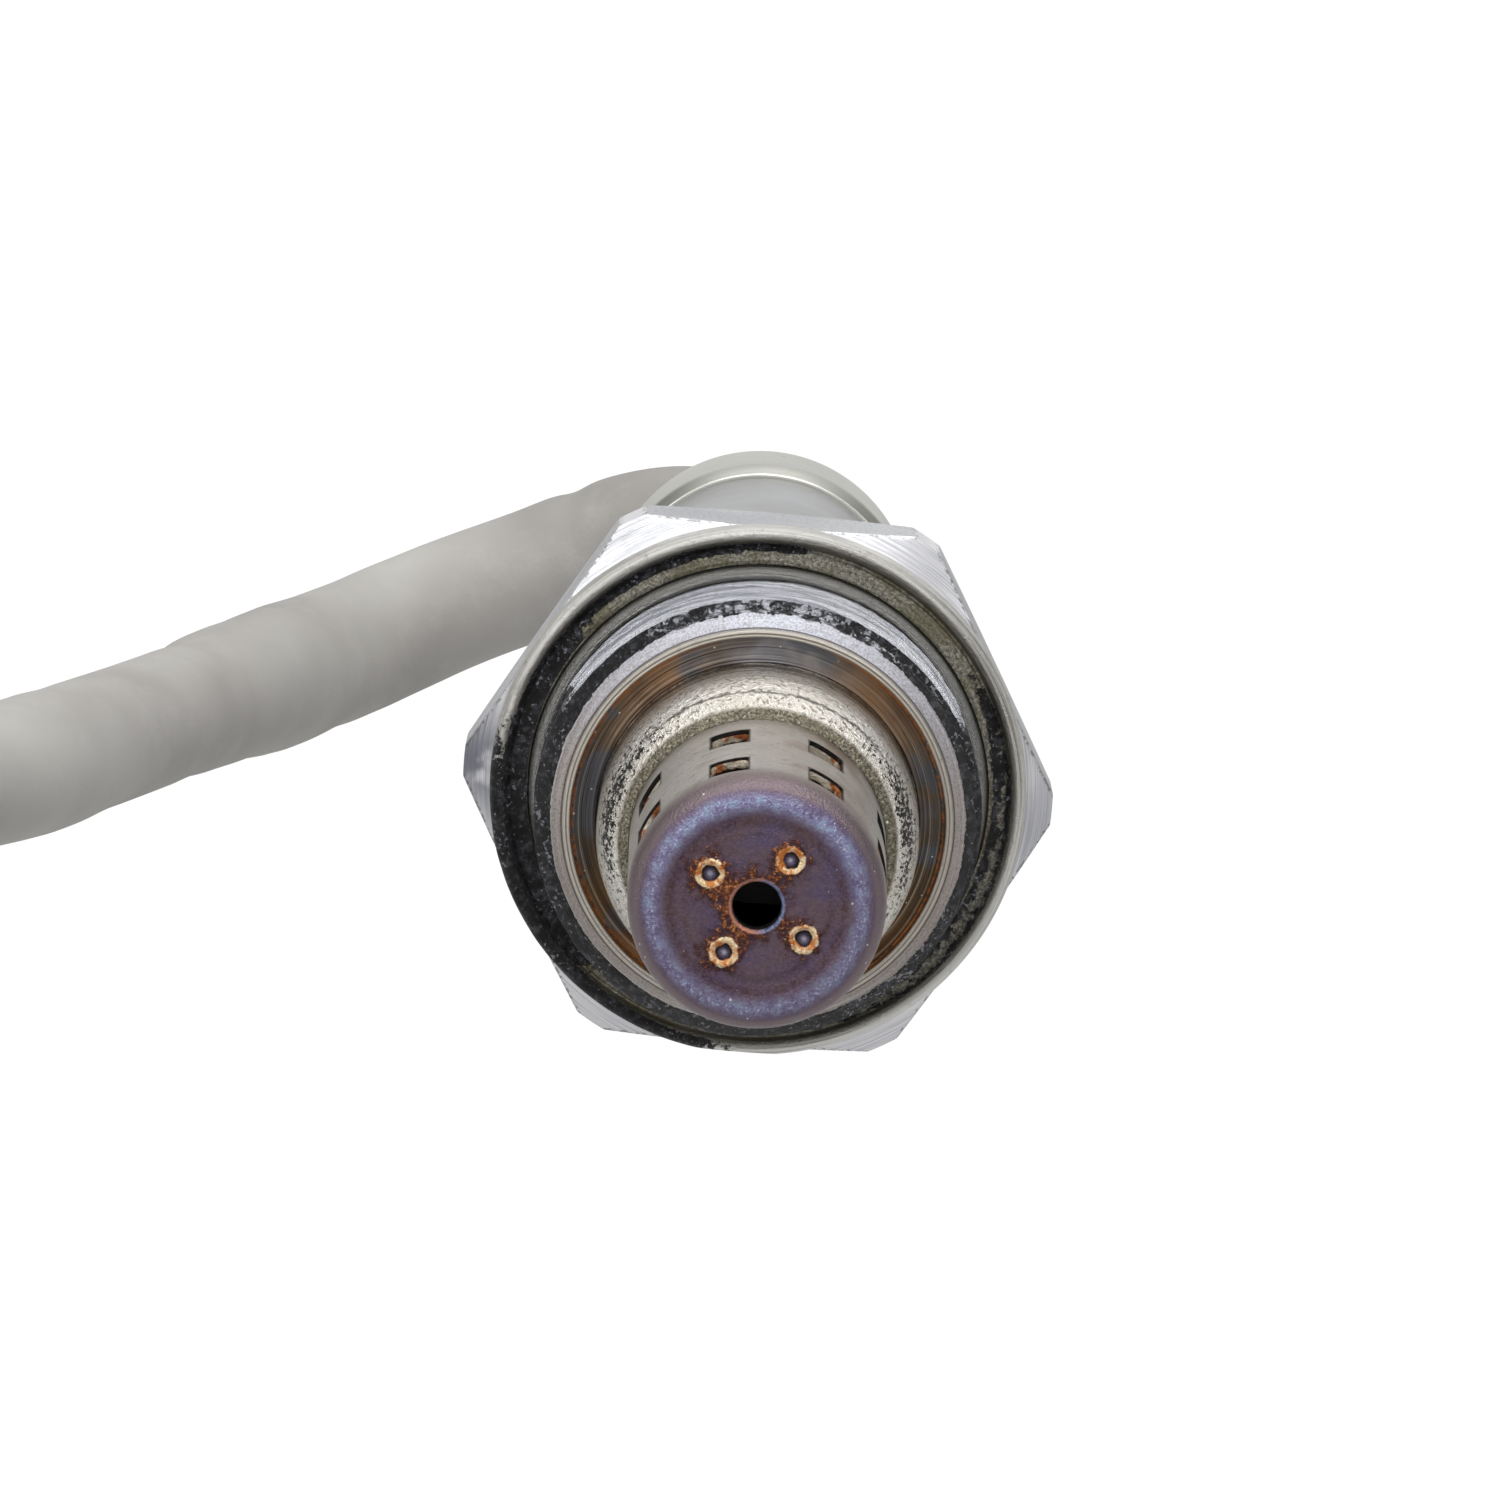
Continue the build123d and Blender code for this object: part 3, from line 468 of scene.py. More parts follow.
def arc(centre, radius, first, last, count):
    """Points on a circle of a section, from one angle to another in degrees, 0 outwards and 90 to the tip."""
    angle = np.radians(np.linspace(first, last, count))
    return np.c_[centre[0] + radius * np.cos(angle), centre[1] + radius * np.sin(angle)]


def run(first, last, spacing):
    """Points on a straight line of a section, about that far apart, without its last point."""
    first, last = np.array(first), np.array(last)
    count = max(1, round(np.linalg.norm(last - first) / spacing))
    return first + np.linspace(0, 1, count, endpoint=False)[:, None] * (last - first)


def rounded(corners, steps=4):
    """A section's outline through (radius, height, rounding) corners: a rounded corner is a quadratic Bezier
    arc that starts and ends that far from it."""
    corners = np.array(corners, float)
    points = []
    for k, (radius, height, rounding) in enumerate(corners):
        here = np.array([radius, height])
        if rounding == 0:
            points.append(here[None, :])
            continue
        before = corners[k - 1, :2] - here
        after = corners[(k + 1) % len(corners), :2] - here
        start = here + before / np.linalg.norm(before) * rounding
        end = here + after / np.linalg.norm(after) * rounding
        t = np.linspace(0, 1, steps)[:, None]
        points.append((1 - t) ** 2 * start + 2 * t * (1 - t) * here + t * t * end)
    return np.concatenate(points)


def window_gap(across, height):
    """Signed distance in mm from a place on the tube to the nearest window's edge, below 0 inside it.

    Each window is a rounded rectangle on the unrolled tube, and across is measured round it."""
    pitch = FULL_TURN * TIP_RADIUS / WINDOWS
    start = WINDOW_FIRST * TIP_RADIUS
    sideways = (across - start + pitch / 2) % pitch - pitch / 2
    gaps = []
    for middle in WINDOW_HEIGHTS:
        over = np.abs(sideways) - WINDOW_HALF[0] + WINDOW_CORNER
        beyond = np.abs(height - middle) - WINDOW_HALF[1] + WINDOW_CORNER
        outside = np.hypot(np.maximum(over, 0), np.maximum(beyond, 0))
        gaps.append(outside + np.minimum(np.maximum(over, beyond), 0) - WINDOW_CORNER)
    return np.minimum(*gaps)


# The section runs from the hole's rim over the end, down the tube and the collar to the flange's rim. The
# end sinks a little inside its rolled edge, with a pit and a raised ring at each weld.
shoulder_angle = math.degrees(math.acos((SHOULDER[0] - COLLAR_RADIUS + DOME_RADIUS) / DOME_RADIUS))
edge_middle = (TIP_RADIUS - TIP_EDGE, TIP_HEIGHT - TIP_EDGE)
side_foot = (5.04, TUBE_ROOT[1] + 0.3)
collar_foot = (COLLAR_RADIUS, FLANGE_TOP + 0.35)
tube_section = np.concatenate([
    arc((END_HOLE + HOLE_EDGE, TIP_HEIGHT - HOLE_EDGE), HOLE_EDGE, 180, 90, 5),
    run((END_HOLE + 0.2, TIP_HEIGHT), (edge_middle[0], TIP_HEIGHT), 0.07),
    arc(edge_middle, TIP_EDGE, 90, 0, 14),
    run((TIP_RADIUS, TIP_HEIGHT - TIP_EDGE - 0.1), side_foot, 0.155),
    rounded([(*side_foot, 0), (*TUBE_ROOT, 0.2), (*SHOULDER, 0)], 5)[1:],
    arc((COLLAR_RADIUS - DOME_RADIUS, COLLAR_TOP), DOME_RADIUS, shoulder_angle - 4, 0, 16),
    run((COLLAR_RADIUS, COLLAR_TOP - 0.2), collar_foot, 0.3),
    rounded([(*collar_foot, 0), (COLLAR_RADIUS, FLANGE_TOP, 0.3), (FLANGE_RADIUS, FLANGE_TOP, 0)]),
])
tube_radius, around, tube_height = revolved(tube_section, evenly_round(TUBE_COLUMNS))

faded_end = np.clip((edge_middle[0] + END_FADE / 2 - tube_radius) / END_FADE, 0, 1)
on_end = faded_end * (tube_height > TIP_HEIGHT - 0.3)
weld_turn = (around - WELD_FIRST + math.pi / WELDS) % (FULL_TURN / WELDS) - math.pi / WELDS
from_weld = np.sqrt(tube_radius ** 2 + WELD_CIRCLE ** 2 - 2 * tube_radius * WELD_CIRCLE * np.cos(weld_turn))
pit_depth, pit_width = WELD_PIT
rim_height, rim_radius, rim_width = WELD_RIM
step_depth, step_radius, step_width = END_STEP
groove_depth, groove_radius, groove_width = END_RING
weld_shape = -pit_depth * hill(from_weld, pit_width) + rim_height * hill(from_weld - rim_radius, rim_width)
sunk = -step_depth * np.clip((step_radius - tube_radius) / step_width, 0, 1)
ring_step = sunk - groove_depth * hill(tube_radius - groove_radius, groove_width)
uneven = END_LUMP * lumps(around / FULL_TURN, tube_radius / 8, (14, 9), 11)
tube_height = tube_height + on_end * (weld_shape + ring_step + uneven)

# Cells inside a window are left out, and the points on a window's rim move onto its outline, along the
# gradient of the signed distance.
on_side = (tube_height < TIP_HEIGHT - TIP_EDGE) & (tube_height > TUBE_ROOT[1] + 0.4)
tube_across = around * TIP_RADIUS
gap = np.where(on_side, window_gap(tube_across, tube_height), FAR)


def gap_slope(across_step, height_step):
    """How fast the gap to the windows grows at each point of the tube, in the direction of a small step."""
    ahead = window_gap(tube_across + across_step, tube_height + height_step)
    behind = window_gap(tube_across - across_step, tube_height - height_step)
    return (ahead - behind) / (2 * NUDGE)


slope_across = gap_slope(NUDGE, 0)
slope_along = gap_slope(0, NUDGE)
cells = grid_faces(len(tube_section), TUBE_COLUMNS)
open_cell = gap.ravel()[cells].mean(axis=1) < 0
corner_uses = np.bincount(cells.ravel(), minlength=gap.size)
open_uses = np.bincount(cells[open_cell].ravel(), minlength=gap.size)
on_rim = ((open_uses > 0) & (open_uses < corner_uses)).reshape(gap.shape)
around = around - np.where(on_rim, gap * slope_across, 0) / TIP_RADIUS
tube_height = tube_height - np.where(on_rim, gap * slope_along, 0)
tube_cells = cells[~open_cell]


def on_axis(tree):
    """Where a place lies on the sensor: its radius, its angle in turns clockwise from straight up, its height
    along the axis, all in mm but the angle, and the place itself in mm about the axis."""
    place = node(tree, "ShaderNodeTexCoord", out="Object")
    inputs = {"Vector": place, "Location": (0, -DATUM_Y, -AXIS_HEIGHT), "Scale": (1 / MM, 1 / MM, 1 / MM)}
    centred = node(tree, "ShaderNodeMapping", inputs)
    parts = new_node(tree, "ShaderNodeSeparateXYZ", {0: centred})
    side, back, rise = map(Value, parts.outputs)
    radius = (side * side + rise * rise).math("SQRT")
    angle = side.math("ARCTAN2", rise) * (1 / FULL_TURN)
    return radius, angle, back * -1.0, centred


def ring(value, middle, width):
    """A share that is 1 where value is at middle and falls smoothly to 0 at width on either side."""
    return within(abs(value - middle), width, 0.0)


def group(name, inputs, outputs, build):
    """Makes a node group with float or vector inputs and outputs, name: kind; build gives its outputs in
    order. What comes back is a function that places the group and gives a list of its outputs."""
    tree = bpy.data.node_groups.new(name, "ShaderNodeTree")
    for way, sockets in (("INPUT", inputs), ("OUTPUT", outputs)):
        for socket, kind in sockets.items():
            tree.interface.new_socket(socket, in_out=way, socket_type=kind)
    source = tree.nodes.new("NodeGroupInput")
    made = build(*map(Value, source.outputs[:len(inputs)]))
    new_node(tree, "NodeGroupOutput", dict(enumerate(made)))

    def placed(*values):
        user = new_node(values[0].tree, "ShaderNodeGroup", dict(enumerate(values)), node_tree=tree)
        return [Value(output) for output in user.outputs]

    return placed


FLOAT, VECTOR = "NodeSocketFloat", "NodeSocketVector"


def build_turning(across, along, fineness):
    """Fine grooves: noise that changes quickly across them and hardly along them."""
    lines = node(across.tree, "ShaderNodeCombineXYZ", {"X": across * fineness, "Y": along})
    return [noise(lines, 1.0, 4.0, 0.6)]


turning_inputs = {"Across": FLOAT, "Along": FLOAT, "Fineness": FLOAT}
turning_marks = group("turning_marks", turning_inputs, {"Height": FLOAT}, build_turning)


def build_grit(place, scale, share):
    """Small bright specks of all sizes: the middles of a few of the cells of a Voronoi pattern."""
    cells = new_node(place.tree, "ShaderNodeTexVoronoi", {"Vector": place, "Scale": scale})
    chance = new_node(place.tree, "ShaderNodeSeparateColor", {0: Value(cells.outputs["Color"])})
    chosen = Value(chance.outputs[0]).math("LESS_THAN", share)
    size = Value(chance.outputs[1]) * 0.2 + 0.04
    return [chosen * Value(cells.outputs["Distance"]).math("LESS_THAN", size)]


grit = group("grit", {"Place": VECTOR, "Scale": FLOAT, "Share": FLOAT}, {"Mask": FLOAT}, build_grit)


def weld_distances(radius, angle):
    """How far a place on the end is, in mm, from the nearest weld's middle and from the line that joins that
    weld to the hole."""
    turns = (angle - WELD_FIRST / FULL_TURN) * float(WELDS)
    off = (turns - turns.math("ROUND")) * (FULL_TURN / WELDS)
    along = radius * off.math("COSINE")
    beside = abs(radius * off.math("SINE"))
    beyond = along - WELD_CIRCLE
    square = beyond * beyond + beside * beside
    past = beyond.math("MAXIMUM", 0.0)
    return square.math("SQRT"), beside + past * 1.2


def gap_to_window(angle, height):
    """How far a place on the tube's side is, in mm, from the nearest window's edge, below 0 inside it."""
    turns = (angle - WINDOW_FIRST / FULL_TURN) * float(WINDOWS)
    off = abs(turns - turns.math("ROUND"))
    across = off * (FULL_TURN * TIP_RADIUS / WINDOWS) - WINDOW_HALF[0]
    middle = sum(WINDOW_HEIGHTS) / 2
    apart = (WINDOW_HEIGHTS[1] - WINDOW_HEIGHTS[0]) / 2
    from_row = abs(height - middle) - apart
    along = abs(from_row) - WINDOW_HALF[1]
    return across.math("MAXIMUM", along)


def tip_finish(tree):
    """Heat-tinted steel. On the end, purple-brown with a lavender band inside its rolled edge that also
    carries a painted highlight, brighter at the top and flecked with painted glints; rust between the hole
    and the welds, straw rings at the welds, and pits with a painted highlight in the middle and painted shade
    towards their rims; down the side, warm grey satin."""
    radius, angle, height, place = on_axis(tree)
    slow = noise(place, 0.55, 3.0)
    quick = noise(place, 2.0, 5.0, 0.65)
    grain = noise(place, 9.0, 3.0, 0.7)
    sideways = (angle * FULL_TURN).math("SINE")
    upward = abs(angle)
    purple = colors(slow, (0.3, (92, 78, 104)), (0.5, (104, 86, 94)), (0.7, (96, 86, 116)))
    brown_rings = ring(radius, 3.3, 0.34) + ring(radius, 2.8, 0.24) * 0.6
    brown_share = brown_rings * within(quick, 0.3, 0.7, 0.75, 0.2)
    brown = mixed(brown_share, purple, (72, 50, 46))
    mottled = mixed(within(grain, 0.42, 0.6, 0.4), brown, (126, 104, 112))
    lavender = colors(quick, (0.36, (118, 112, 150)), (0.5, (150, 148, 186)), (0.62, (160, 176, 206)))
    # The lavender band is heat tint and also a painted highlight: it is made brighter towards the top, and
    # whiter painted glints are scattered along it.
    tint_and_highlight_share = ring(radius, 4.0, 0.58) * within(grain, 0.3, 0.6, 1.0, 0.55)
    highlight_on_top = within(upward, 0.12, 0.3, 0.75, 1.0)
    pale = mixed(tint_and_highlight_share * highlight_on_top, mottled, lavender)
    painted_glint_share = ring(radius, 4.02, 0.32) * within(grain, 0.55, 0.66)
    painted_glints = mixed(painted_glint_share * 0.7, pale, (208, 216, 236))
    taupe = mixed(within(radius, 4.35, 4.62), painted_glints, (134, 120, 124))
    weld, spoke = weld_distances(radius, angle)
    nearest = abs(radius - 1.0).math("MINIMUM", spoke - 0.2).math("MINIMUM", weld - 0.42)
    rusty = quick * 1.9 - (sideways * 0.16 + nearest) * 0.9
    scorch = mixed(within(rusty, 0.3, 0.85, 0.85), taupe, (66, 38, 34))
    crumbs = noise(place, 5.5, 4.0, 0.7) * 1.3 + rusty * 0.4
    rust_color = colors(
        grain, (0.36, (84, 46, 34)), (0.5, (132, 76, 46)), (0.6, (188, 122, 74)), (0.7, (230, 186, 132)),
    )
    rust = mixed(within(crumbs, 0.98, 1.12, 0.9), scorch, rust_color)
    straw = mixed(within(quick, 0.42, 0.58), (250, 226, 186), (206, 128, 66))
    wobble = quick * 0.36 + (weld - 0.18)
    ringed = mixed(within(ring(wobble, 0.44, 0.19), 0.05, 0.6), rust, straw)
    # The weld pits: a dark weld colour with a painted highlight in the middle and painted shade towards the
    # rim.
    pit = colors(
        weld, (0.04, (168, 164, 180)), (0.13, (104, 98, 116)), (0.24, (58, 50, 62)), (0.32, (26, 18, 18)),
    )
    pits_with_painted_light = mixed(within(wobble, 0.34, 0.28), ringed, pit)
    rim_color = mixed(within(sideways, -0.2, 0.5), (196, 138, 118), (130, 140, 176))
    hole_rim = mixed(within(radius, 1.12, 1.0), pits_with_painted_light, rim_color)
    side_tone = colors(slow, (0.3, (190, 184, 174)), (0.55, (208, 202, 194)), (0.75, (186, 176, 160)))
    bluish = mixed(within(grain, 0.5, 0.64, 0.45), side_tone, (162, 170, 182))
    dulled = mixed(within(quick, 0.55, 0.66, 0.4), bluish, (120, 106, 92))
    bronzed = mixed(ring(angle, 0.09, 0.12) * within(slow, 0.35, 0.6, 0.75), dulled, (146, 124, 110))
    scorched = mixed(within(height, TIP_HEIGHT - 2.8, TIP_HEIGHT - 0.9, 0.85), bronzed, (132, 114, 112))
    # A dark outline round each window on the tube's outer surface.
    outlined = mixed(within(gap_to_window(angle, height), 0.09, 0.03, 0.9), scorched, (38, 32, 26))
    whole = mixed(within(height, TIP_HEIGHT - 1.05, TIP_HEIGHT - 0.55), outlined, hole_rim)
    [specks] = grit(place, 4.2, 0.1)
    finished = mixed(specks * 0.7, whole, (226, 222, 220))
    [marks] = turning_marks(radius, angle, 9.0)
    crust = within(rusty, 0.5, 1.0) * crumbs
    height_map = crust * 1.4 + (grain * 1.4 + marks * 0.4)
    return surface(
        finished, roughness=within(quick, 0.2, 0.9, 0.5, 0.26), metallic=0.9, height=height_map,
        strength=0.6, depth=0.00007,
    )


def cut_edge_finish(tree):
    """The cut through the tube's wall at its windows: a black line at the outer surface, then bright torn
    steel, here and there rusty, and near black towards the inside."""
    radius, _, _, place = on_axis(tree)
    quick = noise(place, 3.0, 4.0, 0.7)
    ragged = quick * 0.35 + radius
    torn = mixed(within(noise(place, 0.9, 2.0), 0.5, 0.56), (226, 219, 200), (176, 108, 62))
    dark_inside = mixed(within(ragged, TIP_RADIUS - 0.2, TIP_RADIUS - 0.12), (16, 12, 10), torn)
    lined = mixed(within(radius, TIP_RADIUS - 0.1, TIP_RADIUS - 0.06), dark_inside, (22, 17, 14))
    at_hole = within(radius, 1.6, 1.4)
    return surface(
        mixed(at_hole, lined, (70, 52, 48)), roughness=0.35, metallic=0.6, height=quick, strength=0.6,
        depth=0.0002,
    )


def collar_finish(tree):
    """Drawn steel: creamy and bright on the dome where it was stretched, with fine wrinkles round it and
    black grainy painted reflections of the dark surroundings at the sides, an olive shadow at the tube's
    root, and at its foot brown lines that are heat colour and painted shade of its ridges, with a light line
    of painted highlight between them; bronze and brown on the turned flange."""
    radius, angle, height, place = on_axis(tree)
    slow = noise(place, 0.4, 2.0)
    quick = noise(place, 3.2, 5.0, 0.7)
    fine = noise(place, 5.0, 4.0, 0.75)
    [wrinkles] = turning_marks(height, angle * 14.0, 5.0)
    [marks] = turning_marks(radius, angle * 1.5, 11.0)
    upward = abs(angle)
    cream = colors(slow, (0.3, (234, 228, 216)), (0.7, (246, 242, 235)))
    root_grain = noise(place, 10.0, 3.0, 0.7)
    root_tone = mixed(within(root_grain, 0.4, 0.64), (94, 90, 78), (172, 166, 148))
    olive = mixed(within(radius, 5.62, 5.42), cream, root_tone)
    pocked = mixed(within(fine, 0.53, 0.61, 0.7), olive, (118, 106, 88))
    squiggle = ring(quick * 0.3 + radius, 6.17, 0.06)
    scribbled = mixed(squiggle * within(upward, 0.2, 0.1, 0.85), pocked, (52, 44, 36))
    # Painted reflection: black grain at the dome's sides, where it would reflect the dark sides of the tent.
    dark_side_reflection = ring(upward, 0.22, 0.17) * ring(radius, 5.95, 0.55)
    grain = within(dark_side_reflection * 0.2 + fine, 0.62, 0.66, 0.95)
    mottled = mixed(grain * within(dark_side_reflection, 0.0, 0.3), scribbled, (34, 29, 23))
    foot = within(height, 10.4, 8.8) * within(wrinkles, 0.42, 0.6)
    lined = mixed(foot * 0.8, mottled, (102, 80, 64))
    # The foot's ridges are painted rather than modelled: brown lines that are heat colour with painted shade,
    # and between them a light line that is a painted highlight.
    line_places = ring(height, 9.75, 0.14).math("MAXIMUM", ring(height, 8.9, 0.16))
    heat_and_shade_lines = mixed(line_places * within(quick, 0.4, 0.55, 0.85), lined, (64, 44, 34))
    bright = mixed(ring(height, 9.2, 0.14) * 0.7, heat_and_shade_lines, (226, 206, 178))
    bronze = colors(
        upward, (0.0, (158, 160, 166)), (0.05, (142, 134, 128)), (0.1, (150, 118, 90)),
        (0.16, (122, 102, 84)), (0.25, (98, 88, 76)), (0.33, (106, 84, 60)), (0.42, (150, 104, 66)),
    )
    stained = mixed(within(noise(place, 0.5, 3.0), 0.4, 0.7, 0.5), bronze, (74, 62, 58))
    blued = within(noise(place, 0.36, 3.0), 0.5, 0.6, 0.75)
    patchy = mixed(blued, stained, (98, 104, 114))
    dark_cut = mixed(within(marks, 0.46, 0.36, 0.7), patchy, (48, 40, 34))
    bright_cut = mixed(within(marks, 0.54, 0.64, 0.45), dark_cut, (206, 192, 172))
    orange = ring(radius, 7.42, 0.1) * within(upward, 0.03, 0.1)
    rusty_edge = mixed(orange * within(quick, 0.4, 0.55, 0.8), bright_cut, (190, 116, 62))
    on_flange = within(radius, 6.42, 6.5)
    flange = mixed(on_flange, bright, rusty_edge)
    [specks] = grit(place, 3.4, 0.14)
    finished = mixed(specks * 0.9, flange, (232, 226, 216))
    bumps = wrinkles * 0.5 + (fine * 0.9 + quick)
    height_map = blend(on_flange, bumps, marks)
    return surface(
        finished, roughness=blend(on_flange, 0.22, 0.28), metallic=1.0, height=height_map, strength=0.7,
        depth=0.00014,
    )


tip_steel = finish("heat_tinted_steel", tip_finish)
collar_steel = finish("drawn_collar_steel", collar_finish)
cut_edge = finish("torn_window_edge", cut_edge_finish)
cell_height = tube_height.ravel()[tube_cells].mean(axis=1)
outer_tube = mesh_piece(
    "protection_tube",
    about_axis(tube_radius, around, tube_height),
    tube_cells.tolist(),
    [tip_steel, collar_steel, cut_edge],
    material_rows=(cell_height < TUBE_ROOT[1] + 0.15).astype(np.int32),
)
wall = outer_tube.modifiers.new("wall", "SOLIDIFY")
wall.thickness = TUBE_WALL * MM
wall.offset = -1.0
wall.material_offset_rim = 2
broken_edge = outer_tube.modifiers.new("broken_edge", "BEVEL")
broken_edge.width = 0.05 * MM
broken_edge.segments = 2
broken_edge.limit_method = "ANGLE"
broken_edge.angle_limit = math.radians(50)
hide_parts("outer_protection_tube")
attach(outer_tube, "root")

# --------------------------------------
# The housing: turned from one steel bar, with a crimped lip that holds the tubes' flanges, a chamfer, an
# M18 x 1.5 thread still coated in black assembly paste, a relief groove, a 22 mm hexagon and a rear boss.

THREAD_PITCH = 1.5
THREAD_MAJOR = 9.0
THREAD_DEPTH = 0.86
THREAD_START = 7.62
THREAD_END = 3.3
RELIEF_RADIUS = 8.2
NOSE_HEIGHT = 8.5
LIP_RADIUS = 7.8
LIP_BORE = 7.5
RECESS_FLOOR = 7.2
HEX_HALF = 10.8
HEX_CORNER = 12.1
HEX_FRONT = 1.0
HEX_BACK = -2.9
HEX_CHAMFER = (1.3, 0.75)  # width and length of the cone that takes off the hexagon's corners
BOSS_RADIUS = 6.2
BOSS_END = -12.6
FRONT_BORE = 4.4
STACK_BORE = 5.4
STACK_SEAT = 2.0
BOSS_LIP_TOP = -12.0
BOSS_LIP_BORE = 4.6
HOUSING_COLUMNS = 240
CREST, ROOT = 0.16, 0.22  # shares of the pitch that are flat
THREAD_ROWS = 64
THREAD_MARGIN = 0.3  # how far inside its ends the thread is cut
NOSE_CHAMFER = (0.62, 1.1)  # width at the thread's start, and how fast it widens
PASTE_DEPTH = 0.16
PASTE_ROUGHNESS = 0.03
PASTE_SPAN = 20  # height that one repeat of the paste's lumps covers

# Columns stand close together beside the edges between the hexagon's flats and its turned corners.
flat_end = math.acos(HEX_HALF / HEX_CORNER)
edges = np.add.outer(np.arange(6) * math.pi / 3, np.array([-1, 1]) * flat_end).ravel()
beside_edges = np.add.outer(edges, np.radians([-0.25, 0.25])).ravel() % FULL_TURN
housing_around = np.unique(np.r_[evenly_round(HOUSING_COLUMNS), beside_edges])

lip_section = rounded([
    (LIP_BORE, RECESS_FLOOR, 0), (LIP_BORE, NOSE_HEIGHT, 0.1), (LIP_RADIUS, NOSE_HEIGHT, 0.1),
    (LIP_RADIUS + 0.02, NOSE_HEIGHT - 0.16, 0.03), (LIP_RADIUS + 0.1, NOSE_HEIGHT - 0.2, 0.04),
    (LIP_RADIUS + 0.5, NOSE_HEIGHT - 0.52, 0),
])
thread_heights = np.linspace(THREAD_START + THREAD_MARGIN, THREAD_END - THREAD_MARGIN, THREAD_ROWS)
thread_section = np.c_[np.full(THREAD_ROWS, THREAD_MAJOR), thread_heights]
relief_end = (RELIEF_RADIUS, HEX_FRONT + 0.15)
relief_section = np.array([(RELIEF_RADIUS, THREAD_END - 0.5), relief_end])
chamfer_inner = (HEX_CORNER - HEX_CHAMFER[0], HEX_FRONT)
chamfer_outer = (HEX_CORNER, HEX_FRONT - HEX_CHAMFER[1])
back_outer = (HEX_CORNER, HEX_BACK + HEX_CHAMFER[1])
back_inner = (HEX_CORNER - HEX_CHAMFER[0], HEX_BACK)
hexagon_section = np.concatenate([
    rounded([(*relief_end, 0), (RELIEF_RADIUS, HEX_FRONT, 0.1), (9.5, HEX_FRONT, 0)])[1:],
    run((9.6, HEX_FRONT), chamfer_inner, 0.35),
    run(chamfer_inner, chamfer_outer, 0.05),
    run(chamfer_outer, back_outer, 0.5),
    run(back_outer, back_inner, 0.05),
    run(back_inner, (BOSS_RADIUS + 0.1, HEX_BACK), 0.8),
])
inside_section = rounded([
    (BOSS_RADIUS, HEX_BACK, 0), (BOSS_RADIUS, BOSS_END, 0.15), (BOSS_LIP_BORE, BOSS_END, 0.15),
    (BOSS_LIP_BORE, BOSS_LIP_TOP, 0), (STACK_BORE, BOSS_LIP_TOP, 0), (STACK_BORE, STACK_SEAT, 0),
    (FRONT_BORE, STACK_SEAT, 0), (FRONT_BORE, RECESS_FLOOR, 0.1),
])
sections = [lip_section, thread_section, relief_section, hexagon_section, inside_section]
housing_section = np.concatenate(sections)
section_rows = np.repeat(np.arange(len(sections)), [len(section) for section in sections])
THREAD, HEXAGON = 1, 3  # their places in sections

housing_radius, housing_turn, housing_height = revolved(housing_section, housing_around)

# The thread's radius falls from the major one by a trapezoid wave of the turn and the height together, so
# the ridge climbs as it goes round. It fades in under the nose's chamfer and out into the relief groove.
in_thread = (section_rows == THREAD)[:, None]
turn_share = housing_turn / FULL_TURN
wave = np.abs((housing_height / THREAD_PITCH + turn_share) % 1 * 2 - 1)
valley = np.clip((wave - CREST) / (1 - CREST - ROOT), 0, 1)
filled = PASTE_DEPTH * (1 + lumps(turn_share, housing_height / PASTE_SPAN, (60, 40), 21)) * valley
ridge = THREAD_MAJOR - THREAD_DEPTH * valley + filled
chamfer_width = NOSE_CHAMFER[0] + (THREAD_START + THREAD_MARGIN - housing_height) * NOSE_CHAMFER[1]
under_chamfer = np.minimum(ridge, LIP_RADIUS + chamfer_width)
fade_out = np.clip((housing_height - THREAD_END + THREAD_MARGIN) / (2 * THREAD_MARGIN), 0, 1)
faded = RELIEF_RADIUS + (under_chamfer - RELIEF_RADIUS) * fade_out
roughened = faded + PASTE_ROUGHNESS * lumps(turn_share, housing_height / PASTE_SPAN, (150, 90), 22)
housing_radius = np.where(in_thread, roughened, housing_radius)

# The hexagon: wherever the section is wider than the flat is there, the flat cuts it off.
from_flat = (housing_turn + math.pi / 6) % (math.pi / 3) - math.pi / 6
in_hexagon = (section_rows == HEXAGON)[:, None]
flat_radius = HEX_HALF / np.cos(from_flat)
housing_radius = np.where(in_hexagon, np.minimum(housing_radius, flat_radius), housing_radius)


def build_paste(place, smeared):
    """Assembly paste: where it covers, and how high it stands. A share that says where it was smeared is
    broken up by coarse and fine noise, and the paste is lumpy and gritty inside its ragged edge."""
    coarse = noise(place, 1.3, 4.0, 0.65)
    fine = noise(place, 5.5, 6.0, 0.75)
    edge = smeared + (coarse * 0.8 + fine * 0.7)
    cover = within(edge, 1.22, 1.28)
    return [cover, cover * (fine * 1.3 + coarse)]


paste_outputs = {"Cover": FLOAT, "Height": FLOAT}
paste = group("assembly_paste", {"Place": VECTOR, "Smeared": FLOAT}, paste_outputs, build_paste)


def paste_color(place):
    """Near black, with silvery flakes that lie closer together in some places than in others."""
    tone = colors(
        noise(place, 2.6, 5.0, 0.75), (0.4, (10, 10, 12)), (0.52, (32, 32, 35)), (0.62, (80, 80, 86)),
    )
    crowded = noise(place, 0.7, 2.0) * 0.5 + noise(place, 6.0, 3.0, 0.6)
    return mixed(within(crowded, 0.86, 0.94, 0.75), tone, (176, 176, 184))


